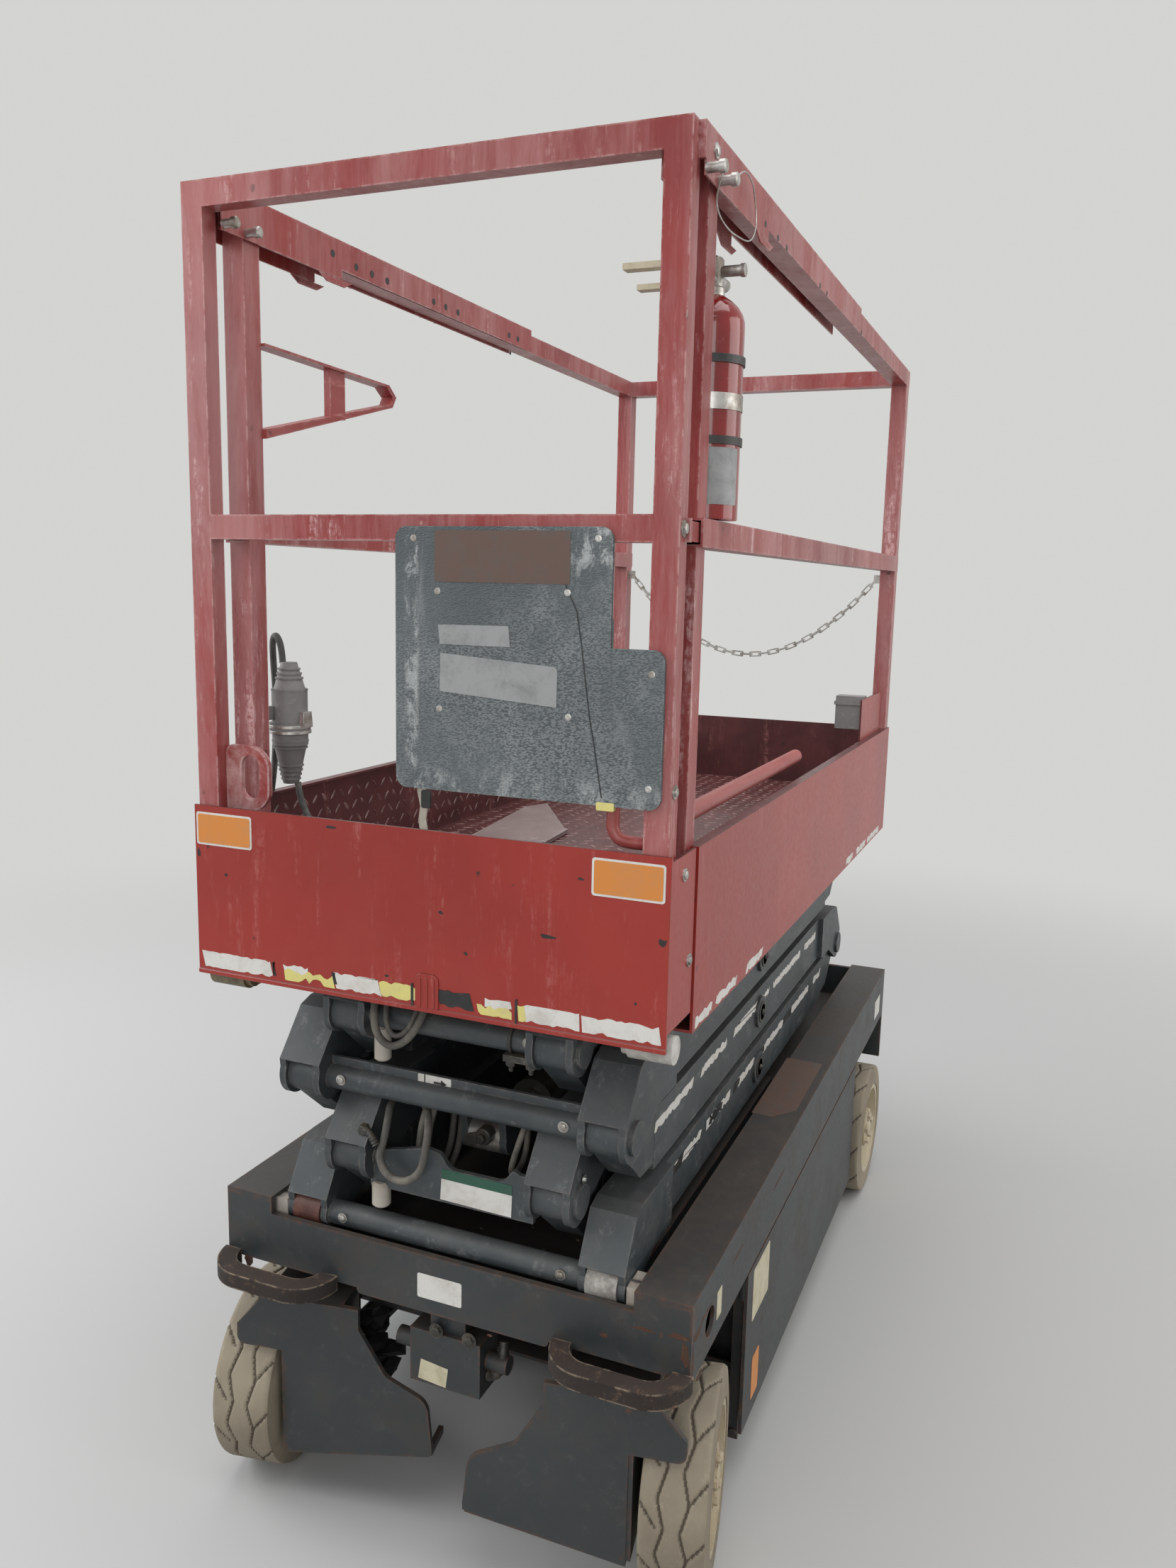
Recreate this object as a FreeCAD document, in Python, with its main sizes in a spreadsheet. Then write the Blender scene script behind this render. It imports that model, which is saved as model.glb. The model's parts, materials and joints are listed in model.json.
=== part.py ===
import FreeCAD, Part
import math
import os
from Sketcher import Constraint

# Slab scissor lift with a roll-out deck extension, in millimetres.
# +X points to the steered end, where the deck rolls out, +Y to the machine's left and +Z up.
# The origin lies on the ground under the middle of the overall length.

doc = FreeCAD.newDocument("scissor_lift")
sheet = doc.addObject("Spreadsheet::Sheet", "dims")

# Driving dimensions: name and millimetres, or degrees for an angle, or a plain share.
SIZES = [
    # Whole machine
    ("end_reach", 873),
    ("base_half", 390),
    ("base_top", 501),
    ("front_overhang", 80),
    ("ladder_reach", 54),
    ("beam_lower", 29),
    ("beam_deep", 113),
    ("plate_thick", 6),
    ("heavy_plate", 10),
    ("running_gap", 0.3),
    ("side_rail_wide", 85),
    ("channel_open", 33),
    ("track_width", 44),
    ("track_back", 913),
    ("spine_inset", 20),
    ("spine_bottom", 125),
    ("spine_ahead", 190),
    ("spine_behind", 126),
    ("deck_drop", 62),
    ("side_hole_back", 87),
    ("side_hole_up", 40),
    ("side_hole", 22),
    # Wheels and steering
    ("wheel_radius", 152.5),
    ("wheel_width", 100),
    ("wheel_inset", 35),
    ("rim_radius", 108),
    ("hub_radius", 46),
    ("hub_recess", 22),
    ("wheel_bore", 18),
    ("roller_axle", 12),
    ("front_axle_back", 103),
    ("rear_axle_ahead", 193),
    ("kingpin_inset", 128),
    ("kingpin_radius", 24),
    ("steer_rest", 10),
    ("yoke_drop", 36),
    ("yoke_thick", 14),
    ("guard_ahead", 125),
    ("guard_bottom", 84),
    ("guard_thick", 8),
    ("toe_gap", 44),
    ("toe_high", 214),
    ("toe_depth", 55),
    ("tie_arm_back", 120),
    ("tie_pin_radius", 9),
    ("axle_radius", 17.5),
    # Tie-down rings
    ("ring_reach", 64),
    ("ring_wide", 212),
    ("ring_past", 5),
    ("ring_thick", 24),
    ("ring_bar", 30),
    ("ring_drop", 14),
    # Trays under the side rails
    ("tray_ahead", 202),
    ("tray_behind", 174),
    ("tray_bottom", 92),
    ("tray_drop", 12),
    ("tray_wide", 220),
    ("battery_height", 236),
    ("bar_inset", 20),
    ("bar_drop", 16),
    ("bar_width", 52),
    ("bar_rod", 7),
    ("hanger_half", 8),
    ("hinge_inset", 8),
    ("hinge_pin", 4),
    # Scissor stack
    ("near_pin_back", 38),
    ("far_pin_ahead", 129),
    ("pin_drop", 20),
    ("level_rise", 113),
    ("arm_height", 96),
    ("arm_width", 50),
    ("arm_wall", 5),
    ("outer_arm_inset", 141),
    ("arm_spacing", 81),
    ("tube_stop", 118),
    ("lug_thick", 11),
    ("lug_radius", 37),
    ("cap_thick", 7),
    ("foot_radius", 23),
    ("boss_radius", 31),
    ("pin_radius", 16),
    ("pin_head", 25),
    ("cross_radius", 19),
    ("roller_radius", 26),
    ("block_inset", 18),
    # Lift cylinder
    ("barrel_radius", 38),
    ("rod_radius", 22),
    ("eye_radius", 26),
    ("barrel_pin_ahead", 290),
    ("barrel_pin_up", 79),
    ("rod_pin_back", 120),
    ("rod_pin_up", 121),
    ("ear_gap", 56),
    # Platform
    ("platform_inset", 24),
    ("platform_back", 105),
    ("platform_ahead", 83),
    ("frame_drop", 56),
    ("deck_deep", 99),
    ("floor_thick", 4),
    ("toe_board", 155),
    ("box_rest_high", 92),
    ("sheet_thick", 4),
    ("channel_inset", 74),
    ("channel_deep", 34),
    ("top_roller", 22),
    ("rail_height", 1003),
    ("rail_tube", 35),
    ("rail_wall", 3),
    ("rail_inset", 4),
    ("mid_rail_drop", 433),
    ("front_post_back", 83),
    ("chain_drop_from_rail", 53),
    ("chain_sag", 196),
    # Roll-out extension
    ("extension_inset", 2),
    ("panel_stand", 6),
    ("extension_length", 1107),
    ("extension_rise", 8),
    ("deck_inset", 54),
    ("end_post_inset", 6),
    ("end_post_deep", 27),
    ("end_post_wide", 34),
    ("end_toe", 161),
    ("channel_length", 990),
    ("channel_high_near", 57),
    ("channel_high_far", 43),
    ("channel_step_back", 307),
    ("channel_wide", 54),
    ("slider_tube", 24),
    ("slider_length", 927),
    # Control panel on the end frame
    ("panel_right", -24),
    ("panel_inset", 11),
    ("panel_notch_wide", 70),
    ("panel_notch_share", 0.574),
    ("panel_above_toe", 56),
    ("panel_below_rail", 15),
    ("panel_round", 16),
    ("console_deep", 96),
    ("console_high", 190),
    ("console_drop", 80),
    # Small pieces on the posts
    ("bottle_radius", 41),
    ("bottle_back", 88),
    ("bottle_inset", 30),
    ("bottle_length", 274),
    ("connector_back", 77),
    ("connector_length", 186),
    ("hoop_drop", 187),
    ("lug_wide", 74),
    ("lug_high", 93),
    ("slot_radius", 15.5),
    ("slot_rise", 16),
]
for row, (alias, number) in enumerate(SIZES, 1):
    cell = "B%d" % row
    sheet.set("A%d" % row, alias)
    sheet.set(cell, str(number))
    sheet.setAlias(cell, alias)
doc.recompute()


class Size:
    """A length with the formula that gives it, so that a shape can be bound to it."""

    def __init__(self, number, formula):
        self.number = number
        self.formula = formula

    def __add__(self, other):
        other = as_size(other)
        return Size(self.number + other.number, "(%s + %s)" % (self.formula, other.formula))

    def __sub__(self, other):
        other = as_size(other)
        return Size(self.number - other.number, "(%s - %s)" % (self.formula, other.formula))

    def __mul__(self, other):
        other = as_size(other)
        return Size(self.number * other.number, "(%s * %s)" % (self.formula, other.formula))

    def __truediv__(self, other):
        other = as_size(other)
        return Size(self.number / other.number, "(%s / %s)" % (self.formula, other.formula))

    def __neg__(self):
        return Size(-self.number, "(0 - %s)" % self.formula)

    def __radd__(self, other):
        return as_size(other) + self

    def __rsub__(self, other):
        return as_size(other) - self

    def __rmul__(self, other):
        return as_size(other) * self


def as_size(value):
    return value if isinstance(value, Size) else Size(float(value), repr(float(value)))


class Sheet:
    """Gives each driving dimension by its name."""

    def __getattr__(self, alias):
        if alias in PLACES:
            return PLACES[alias]()
        return Size(float(sheet.get(alias)), "dims." + alias)


d = Sheet()

# Places that follow from the driving dimensions.
PLACES = {
    # Along the machine
    "base_front": lambda: d.end_reach - d.front_overhang,
    "base_rear": lambda: d.ladder_reach - d.end_reach,
    "front_axle": lambda: d.base_front - d.front_axle_back,
    "rear_axle": lambda: d.base_rear + d.rear_axle_ahead,
    "spine_front": lambda: d.front_axle - d.spine_ahead,
    "spine_rear": lambda: d.rear_axle + d.spine_behind,
    "tray_front": lambda: d.front_axle - d.tray_ahead,
    "tray_rear": lambda: d.rear_axle + d.tray_behind,
    "bar_front": lambda: d.tray_front - 27,
    "bar_rear": lambda: d.tray_rear - 3,
    "tray_hinge_x": lambda: d.tray_front - d.hinge_inset,
    "near_pin": lambda: d.base_front - d.near_pin_back,
    "far_pin": lambda: d.base_rear + d.far_pin_ahead,
    "track_from": lambda: d.base_front - d.track_back,
    "barrel_pin_x": lambda: d.far_pin + d.barrel_pin_ahead,
    "rod_pin_x": lambda: d.near_pin - d.rod_pin_back,
    "platform_front": lambda: d.end_reach - d.platform_back,
    "platform_rear": lambda: d.platform_ahead - d.end_reach,
    "front_post": lambda: d.end_reach - d.front_post_back,
    "extension_front": lambda: d.end_reach - d.panel_stand,
    "extension_rear": lambda: d.extension_front - d.extension_length,
    "channel_rear": lambda: d.extension_front - d.channel_length,
    "channel_step": lambda: d.extension_front - d.channel_step_back,
    "slider_rear": lambda: d.extension_front - d.slider_length,
    "bottle_x": lambda: d.front_post - d.bottle_back,
    "connector_x": lambda: d.front_post - d.connector_back,
    # Across it
    "side_inner": lambda: d.base_half - d.side_rail_wide,
    "wheel_middle": lambda: d.base_half - d.wheel_inset,
    "kingpin_side": lambda: d.base_half - d.kingpin_inset,
    "toe_reach": lambda: d.kingpin_side - d.toe_gap,
    "ring_outer": lambda: d.base_half + d.ring_past,
    "ring_inner": lambda: d.ring_outer - d.ring_wide,
    "tray_inner": lambda: d.base_half - d.tray_wide,
    "spine_half": lambda: d.tray_inner - d.spine_inset,
    "bar_side": lambda: d.base_half - d.bar_inset,
    "tray_hinge_y": lambda: d.base_half - d.hinge_inset,
    "block_outer": lambda: d.base_half - d.block_inset,
    "outer_plane": lambda: d.base_half - d.outer_arm_inset,
    "inner_plane": lambda: d.outer_plane - d.arm_spacing,
    "platform_half": lambda: d.base_half - d.platform_inset,
    "platform_channel": lambda: d.platform_half - d.channel_inset,
    "extension_half": lambda: d.platform_half - d.extension_inset,
    "end_post_half": lambda: d.extension_half - d.end_post_inset,
    "deck_half": lambda: d.platform_half - d.deck_inset,
    "panel_left_low": lambda: d.end_post_half - d.panel_inset,
    "panel_left_high": lambda: d.panel_left_low - d.panel_notch_wide,
    "bottle_y": lambda: d.platform_half - d.bottle_inset,
    "connector_y": lambda: -d.deck_half,
    # Upwards
    "beam_top": lambda: d.base_top - d.beam_lower,
    "beam_bottom": lambda: d.base_top - d.beam_deep,
    "yoke_top": lambda: d.beam_bottom - d.yoke_drop,
    "ring_height": lambda: d.beam_bottom - d.ring_drop,
    "tray_top": lambda: d.beam_bottom - d.tray_drop,
    "bar_height": lambda: d.tray_bottom - d.bar_drop,
    "pin_height": lambda: d.base_top - d.pin_drop,
    "barrel_pin_z": lambda: d.pin_height + d.barrel_pin_up,
    "rod_pin_z": lambda: d.pin_height + d.rod_pin_up,
    "stack_top": lambda: d.pin_height + 4 * d.level_rise,
    "frame_bottom": lambda: d.stack_top - d.frame_drop,
    "floor_top": lambda: d.frame_bottom + d.deck_deep,
    "toe_top": lambda: d.floor_top + d.toe_board,
    "rail_top": lambda: d.floor_top + d.rail_height,
    "mid_rail_top": lambda: d.rail_top - d.mid_rail_drop,
    "chain_top": lambda: d.mid_rail_top - d.chain_drop_from_rail,
    "extension_bottom": lambda: d.frame_bottom + d.extension_rise,
    "end_panel_top": lambda: d.floor_top + d.end_toe,
    "panel_bottom": lambda: d.end_panel_top + d.panel_above_toe,
    "panel_top": lambda: d.mid_rail_top - d.panel_below_rail,
    "panel_notch": lambda: d.panel_bottom + (d.panel_top - d.panel_bottom) * d.panel_notch_share,
    "bottle_bottom": lambda: d.mid_rail_top + 2,
    "bottle_top": lambda: d.bottle_bottom + d.bottle_length,
    "connector_bottom": lambda: d.toe_top + 19,
    "connector_top": lambda: d.connector_bottom + d.connector_length,
    "hoop_top": lambda: d.rail_top - d.hoop_drop,
}


def low_high(first, second):
    """The two ends of a span in rising order."""
    first, second = as_size(first), as_size(second)
    return (first, second) if first.number <= second.number else (second, first)


def bind(thing, path, value):
    thing.setExpression(path, as_size(value).formula)


def place(thing, x=0, y=0, z=0, axis=None, angle=None):
    if axis is not None:
        turn = FreeCAD.Rotation(FreeCAD.Vector(*axis), as_size(angle).number)
        thing.Placement = FreeCAD.Placement(FreeCAD.Vector(), turn)
        if isinstance(angle, Size):
            bind(thing, "Placement.Rotation.Angle", angle)
    for letter, value in (("x", x), ("y", y), ("z", z)):
        bind(thing, "Placement.Base." + letter, value)
    return thing


def block(x, y, z):
    """A box between two places along each axis."""
    box = doc.addObject("Part::Box", "block")
    corner = []
    for length, span in (("Length", x), ("Width", y), ("Height", z)):
        low, high = low_high(*span)
        bind(box, length, high - low)
        corner.append(low)
    return place(box, *corner)


TURNS = {"x": ((0, 1, 0), 90), "y": ((1, 0, 0), -90), "z": None}


def bar(along, span, a, b, radius, far_radius=None):
    """A round bar, or a cone, along one axis; a and b are its centre on the other two axes in order."""
    low, high = low_high(*span)
    if far_radius is None:
        solid = doc.addObject("Part::Cylinder", "bar")
        bind(solid, "Radius", radius)
    else:
        solid = doc.addObject("Part::Cone", "cone")
        bind(solid, "Radius1", radius)
        bind(solid, "Radius2", far_radius)
    bind(solid, "Height", high - low)
    centre = {"x": (low, a, b), "y": (a, low, b), "z": (a, b, low)}[along]
    turn = TURNS[along]
    if turn is None:
        return place(solid, *centre)
    return place(solid, *centre, axis=turn[0], angle=turn[1])


def join(pieces, label=None):
    fused = doc.addObject("Part::MultiFuse", label or "join")
    fused.Shapes = pieces
    fused.Refine = True
    return named(fused, label)


def cut(base, tools, label=None):
    """The base less one tool or several."""
    result = doc.addObject("Part::Cut", label or "cut")
    result.Base = base
    result.Tool = tools[0] if len(tools) == 1 else join(tools)
    result.Refine = True
    return named(result, label)


def gather(pieces, label=None):
    group = doc.addObject("Part::Compound", label or "group")
    group.Links = pieces
    return named(group, label)


def named(thing, label):
    if label:
        thing.Label = label
    return thing


def square_tube(along, span, a, b, wide, high, wall):
    """A hollow tube, open at both ends; wide and high are its section about the centre (a, b)."""
    low, high_end = low_high(*span)
    sides = (a - wide / 2, a + wide / 2), (b - high / 2, b + high / 2)
    holes = (a - wide / 2 + wall, a + wide / 2 - wall), (b - high / 2 + wall, b + high / 2 - wall)
    past = 1
    runs = {"x": lambda s, e: (s, e[0], e[1]), "y": lambda s, e: (e[0], s, e[1]),
            "z": lambda s, e: (e[0], e[1], s)}[along]
    outer = block(*runs((low, high_end), sides))
    inner = block(*runs((low - past, high_end + past), holes))
    return cut(outer, [inner])


PLANES = {
    "xy": ((0, 0, 1), 0, lambda offset: (0, 0, offset)),
    "xz": ((1, 0, 0), 90, lambda offset: (0, offset, 0)),
    "yz": ((1, 1, 1), 120, lambda offset: (offset, 0, 0)),
}


def plate(plane, outline, span, rounds=None):
    """A flat plate: an outline of corners in a plane, as thick as the span across it.

    rounds gives the corners that are rounded, by their number, with their radius."""
    low, high = low_high(*span)
    body = doc.addObject("PartDesign::Body", "plate")
    sketch = body.newObject("Sketcher::SketchObject", "outline")
    origin = [item for item in body.Origin.OriginFeatures if item.Role == "XY_Plane"][0]
    sketch.AttachmentSupport = [(origin, "")]
    sketch.MapMode = "FlatFace"
    corners = [(as_size(a), as_size(b)) for a, b in outline]
    spots = [FreeCAD.Vector(a.number, b.number, 0) for a, b in corners]
    count = len(spots)
    lines = [Part.LineSegment(spots[i], spots[(i + 1) % count]) for i in range(count)]
    sketch.addGeometry(lines, False)
    for i in range(count):
        sketch.addConstraint(Constraint("Coincident", i, 2, (i + 1) % count, 1))
    for i, (a, b) in enumerate(corners):
        for kind, value in (("DistanceX", a), ("DistanceY", b)):
            number = sketch.addConstraint(Constraint(kind, -1, 1, i, 1, value.number))
            sketch.setExpression("Constraints[%d]" % number, value.formula)
    pad = body.newObject("PartDesign::Pad", "thickness")
    pad.Profile = sketch
    bind(pad, "Length", high - low)
    body.Tip = pad
    last = pad
    if rounds:
        doc.recompute([sketch, pad, body])
        for corner, radius in rounds:
            spot = spots[corner]
            for number, edge in enumerate(body.Shape.Edges, 1):
                ends = [vertex.Point for vertex in edge.Vertexes]
                upright = len(ends) == 2 and abs(ends[0].z - ends[1].z) > 0.01
                if upright and math.hypot(ends[0].x - spot.x, ends[0].y - spot.y) < 0.01:
                    corner_round = body.newObject("PartDesign::Fillet", "corner")
                    corner_round.Base = (last, ["Edge%d" % number])
                    bind(corner_round, "Radius", radius)
                    body.Tip = corner_round
                    last = corner_round
                    doc.recompute([corner_round, body])
                    break
    axis, angle, at = PLANES[plane]
    offset = high if plane == "xz" else low
    place(body, *at(offset), axis=axis, angle=angle)
    return body


def both(maker):
    """The same piece on the left (+1) and on the right (-1)."""
    return [piece for side in (1, -1) for piece in maker(side)]


nodes = []


def keep(thing, label):
    """Marks a finished sub-part, which is written under its label."""
    thing.Label = label
    nodes.append(thing)
    return thing


# Base frame

def side_rail(side, label):
    """A side rail: a box below, and above it a channel, open inwards, that guides the slide block."""
    channel_floor = d.base_top - d.plate_thick - d.channel_open
    span = (d.base_rear + d.heavy_plate, d.base_front - d.heavy_plate)
    wide = (side * d.side_inner, side * d.base_half)
    top = block((d.base_rear, d.base_front), wide, (d.base_top - d.plate_thick, d.base_top))
    web = block(span, (side * (d.base_half - d.plate_thick), side * d.base_half), (d.tray_top + 5, d.base_top))
    ledge = block(span, wide, (channel_floor - d.plate_thick, channel_floor))
    inner = block(span, (side * d.side_inner, side * (d.side_inner + d.plate_thick)),
                  (d.beam_bottom, channel_floor))
    floor = block(span, wide, (d.beam_bottom, d.beam_bottom + d.plate_thick))
    hanger_wide = (side * (d.bar_side - d.hanger_half), side * (d.bar_side + d.hanger_half))
    hangers = [block(place, hanger_wide, (d.bar_height - 12, d.beam_bottom + 1))
               for place in ((d.bar_rear - d.plate_thick, d.bar_rear),
                             (d.bar_front, d.bar_front + d.plate_thick))]
    hinge_pin = bar("z", (d.tray_top - 40, d.beam_bottom + 1), d.tray_hinge_x, side * d.tray_hinge_y, d.hinge_pin)
    rod_hole = bar("x", (d.bar_rear - 20, d.bar_front + 20), side * d.bar_side, d.bar_height,
                   d.bar_rod + d.running_gap)
    side_hole = bar("y", (side * (d.base_half - d.plate_thick - 2), side * (d.base_half + 2)),
                    d.base_front - d.side_hole_back, d.beam_bottom + d.side_hole_up, d.side_hole)
    rail = join([top, web, ledge, inner, floor, hinge_pin] + hangers)
    return keep(cut(rail, [rod_hole, side_hole]), label)


def base_boss(side):
    """The lug that carries the foot of the first inner arm."""
    wide = (side * (d.inner_plane - d.arm_width / 2 + 1), side * (d.inner_plane + d.arm_width / 2 - 1))
    web = block((d.far_pin - d.boss_radius, d.far_pin + d.boss_radius), wide,
                (d.pin_height - d.deck_drop, d.pin_height))
    head = bar("y", wide, d.far_pin, d.pin_height, d.boss_radius)
    hole = bar("y", (wide[0] - side * 2, wide[1] + side * 2), d.far_pin, d.pin_height,
               d.pin_radius + d.running_gap)
    return [cut(join([web, head]), [hole])]


def base_frame():
    """The cross members between the side rails: the front and rear plates, the deck and its tracks."""
    deck_top = d.pin_height - d.deck_drop
    inside = (-d.side_inner, d.side_inner)
    front = block((d.base_front - d.heavy_plate, d.base_front), (-d.base_half, d.base_half),
                  (d.beam_bottom, d.beam_top))
    corners = both(lambda side: [block((d.base_front - d.heavy_plate, d.base_front),
                                       (side * d.side_inner, side * d.base_half),
                                       (d.beam_bottom, d.base_top - d.plate_thick))])
    lip = plate("yz", [(-148, d.beam_bottom + 1), (-148, d.beam_bottom - 9), (176, d.beam_bottom - 9),
                       (176, d.beam_bottom + 1)], (d.base_front - d.heavy_plate, d.base_front),
                rounds=[(1, 8), (2, 8)])
    rear = block((d.base_rear, d.base_rear + d.heavy_plate), (-d.base_half, d.base_half),
                 (d.beam_bottom - 120, d.base_top - d.plate_thick))
    deck = block((d.base_rear, d.base_front), inside, (deck_top - d.plate_thick, deck_top))
    tracks = both(lambda side: [block((d.track_from, d.base_front - 12),
                                      (side * (d.outer_plane - d.track_width / 2),
                                       side * (d.outer_plane + d.track_width / 2)),
                                      (deck_top - 1, d.pin_height - d.roller_radius - d.running_gap))])
    kingpin_block = block((d.front_axle - 60, d.front_axle + 60),
                          (-d.kingpin_side - 40, d.kingpin_side + 40), (d.yoke_top + 4, d.beam_bottom + 1))
    cheeks = both(lambda side: [block((d.front_axle - 60, d.front_axle + 60),
                                      (side * (d.side_inner - 12), side * d.side_inner),
                                      (d.yoke_top + 4, deck_top - 3))])
    sockets = both(lambda side: [bar("z", (d.yoke_top, deck_top - d.plate_thick - 1), d.front_axle,
                                     side * d.kingpin_side, d.kingpin_radius + d.running_gap)])
    frame = join([front, lip, rear, deck, kingpin_block] + corners + tracks + cheeks + both(base_boss))
    return keep(cut(frame, sockets), "base_frame")


def base_keel():
    """The deep box between the trays, the rear legs and the beam that carries the rear axle stubs."""
    deck_low = d.pin_height - d.deck_drop - d.plate_thick
    inner = d.spine_half - d.plate_thick
    length = (d.spine_rear, d.spine_front)
    webs = both(lambda side: [block(length, (side * inner, side * d.spine_half), (d.spine_bottom, deck_low))])
    belly = block(length, (-d.spine_half, d.spine_half), (d.spine_bottom, d.spine_bottom + d.plate_thick))
    leg = d.wheel_middle - d.wheel_width / 2 - 30
    legs = both(lambda side: [plate("xz", [
        (d.rear_axle - 150, deck_low), (d.rear_axle - 50, d.wheel_radius - 45),
        (d.rear_axle + 50, d.wheel_radius - 45), (d.spine_rear + 10, d.spine_bottom + 60),
        (d.spine_rear + 10, deck_low)], (side * leg, side * (leg + 12)))])
    beam = square_tube("y", (-leg - 10, leg + 10), d.rear_axle, d.wheel_radius, 60, 60, 6)
    ties = both(lambda side: [block((d.spine_rear - 70, d.spine_rear + 30), (side * inner, side * d.spine_half),
                                    (d.spine_bottom, deck_low))])
    stubs = both(lambda side: [bar("y", (side * (leg + 5), side * (d.wheel_middle + 12)),
                                   d.rear_axle, d.wheel_radius, d.axle_radius)])
    return keep(join([belly, beam] + webs + legs + ties + stubs), "base_keel")


def tie_down_rings():
    """Two half-oval rings with a slot, flat under the front beam."""
    def ring(side):
        middle = (d.ring_inner + d.ring_outer) / 2
        half = (d.ring_outer - d.ring_inner) / 2
        span = (d.ring_height, d.ring_height + d.ring_thick)
        back = d.base_front + d.running_gap / 3
        outer = join([bar("z", span, back, side * (d.ring_inner + d.ring_reach), d.ring_reach),
                      bar("z", span, back, side * (d.ring_outer - d.ring_reach), d.ring_reach),
                      block((back - d.ring_reach, back + d.ring_reach),
                            (side * (d.ring_inner + d.ring_reach), side * (d.ring_outer - d.ring_reach)), span)])
        behind = block((back - d.ring_reach - 5, back), (side * (middle - half - 5), side * (middle + half + 5)),
                       (span[0] - 1, span[1] + 1))
        slot_radius = d.ring_reach - d.ring_bar
        slot = join([bar("z", (span[0] - 1, span[1] + 1), back, side * (d.ring_inner + d.ring_reach), slot_radius),
                     bar("z", (span[0] - 1, span[1] + 1), back, side * (d.ring_outer - d.ring_reach), slot_radius),
                     block((back - 5, back + slot_radius),
                           (side * (d.ring_inner + d.ring_reach), side * (d.ring_outer - d.ring_reach)),
                           (span[0] - 1, span[1] + 1))])
        return [cut(outer, [behind, slot])]
    return keep(gather(both(ring)), "tie_down_rings")


def steering_cylinder():
    """The block of the steering cylinder, hung under the middle of the front beam."""
    body = block((d.base_front - 70, d.base_front - 12), (-60, 60), (252, d.yoke_top - 12))
    neck = block((d.front_axle + 61, d.base_front - 22), (-30, 30),
                 (d.yoke_top - 13, d.pin_height - d.deck_drop - d.plate_thick - d.running_gap / 3))
    rods = bar("y", (-95, 95), d.base_front - 41, 300, 14)
    return keep(join([body, neck, rods]), "steering_cylinder")


def entry_ladder():
    """Two rungs behind the base, on a pair of side straps."""
    back = -d.end_reach
    low = d.beam_bottom - 152
    straps = both(lambda side: [block((back, d.base_rear), (side * 150, side * 158), (low - 6, low + 184))])
    rungs = [block((back, back + 30), (-150, 150), (height, height + 24)) for height in (low, d.beam_bottom)]
    return keep(join(straps + rungs), "entry_ladder")


# Trays that swing out from under the side rails

def tray(side, label):
    door = block((d.tray_rear, d.tray_front), (side * (d.base_half - d.plate_thick), side * d.base_half),
                 (d.tray_bottom, d.tray_top))
    rear, front = d.tray_rear + 27, d.tray_front - 60
    floor = block((rear, front), (side * d.tray_inner, side * (d.base_half - 3)),
                  (d.tray_bottom, d.tray_bottom + d.plate_thick))
    back = block((rear, front), (side * d.tray_inner, side * (d.tray_inner + d.plate_thick)),
                 (d.tray_bottom, d.tray_bottom + 80))
    ends = [block((at, at + 5), (side * d.tray_inner, side * (d.base_half - 3)),
                  (d.tray_bottom, d.tray_bottom + 80)) for at in (rear, front - 5)]
    barrel = bar("z", (d.tray_top - 46, d.tray_top - 4), d.tray_hinge_x, side * d.tray_hinge_y, 8)
    bore = bar("z", (d.tray_top - 47, d.tray_top + 20), d.tray_hinge_x, side * d.tray_hinge_y,
               d.hinge_pin + d.running_gap)
    return keep(cut(join([door, floor, back, barrel] + ends), [bore]), label)


def batteries():
    inside = (d.tray_inner + 12, d.base_half - d.plate_thick - 8)
    floor = d.tray_bottom + d.plate_thick
    start, spare = d.tray_rear + 40, 8
    length = (d.tray_front - d.tray_rear - 116 - 4 * spare) / 4
    cells = [block((start + (length + spare) * i, start + (length + spare) * i + length), inside,
                   (floor, floor + d.battery_height)) for i in range(4)]
    return keep(gather(cells), "batteries")


def hydraulic_unit():
    inside = (-(d.tray_inner + 12), -(d.base_half - d.plate_thick - 8))
    floor = d.tray_bottom + d.plate_thick
    middle = (d.tray_rear + d.tray_front) / 2 - 130
    tank = block((d.tray_rear + 40, middle), inside, (floor, floor + 200))
    pump = bar("x", (middle + 20, d.tray_front - 110), -(d.tray_inner + 105), floor + 80, 75)
    link = block((middle - 10, middle + 40), (-(d.tray_inner + 70), -(d.tray_inner + 140)),
                 (floor, floor + 100))
    return keep(join([tank, pump, link]), "hydraulic_unit")


def pothole_bar(side, label):
    """A flat bar under the tray that swings down to guard against holes in the floor."""
    gap = d.running_gap
    flat = block((d.bar_rear + gap, d.bar_front - gap), (side * (d.bar_side - d.bar_width), side * d.bar_side),
                 (d.bar_height - 5, d.bar_height + 5))
    rod = bar("x", (d.bar_rear - 8, d.bar_front + 10), side * d.bar_side, d.bar_height, d.bar_rod)
    return keep(join([flat, rod]), label)


# Steered knuckles and wheels, made about their own king pin and turned as they stand

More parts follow.
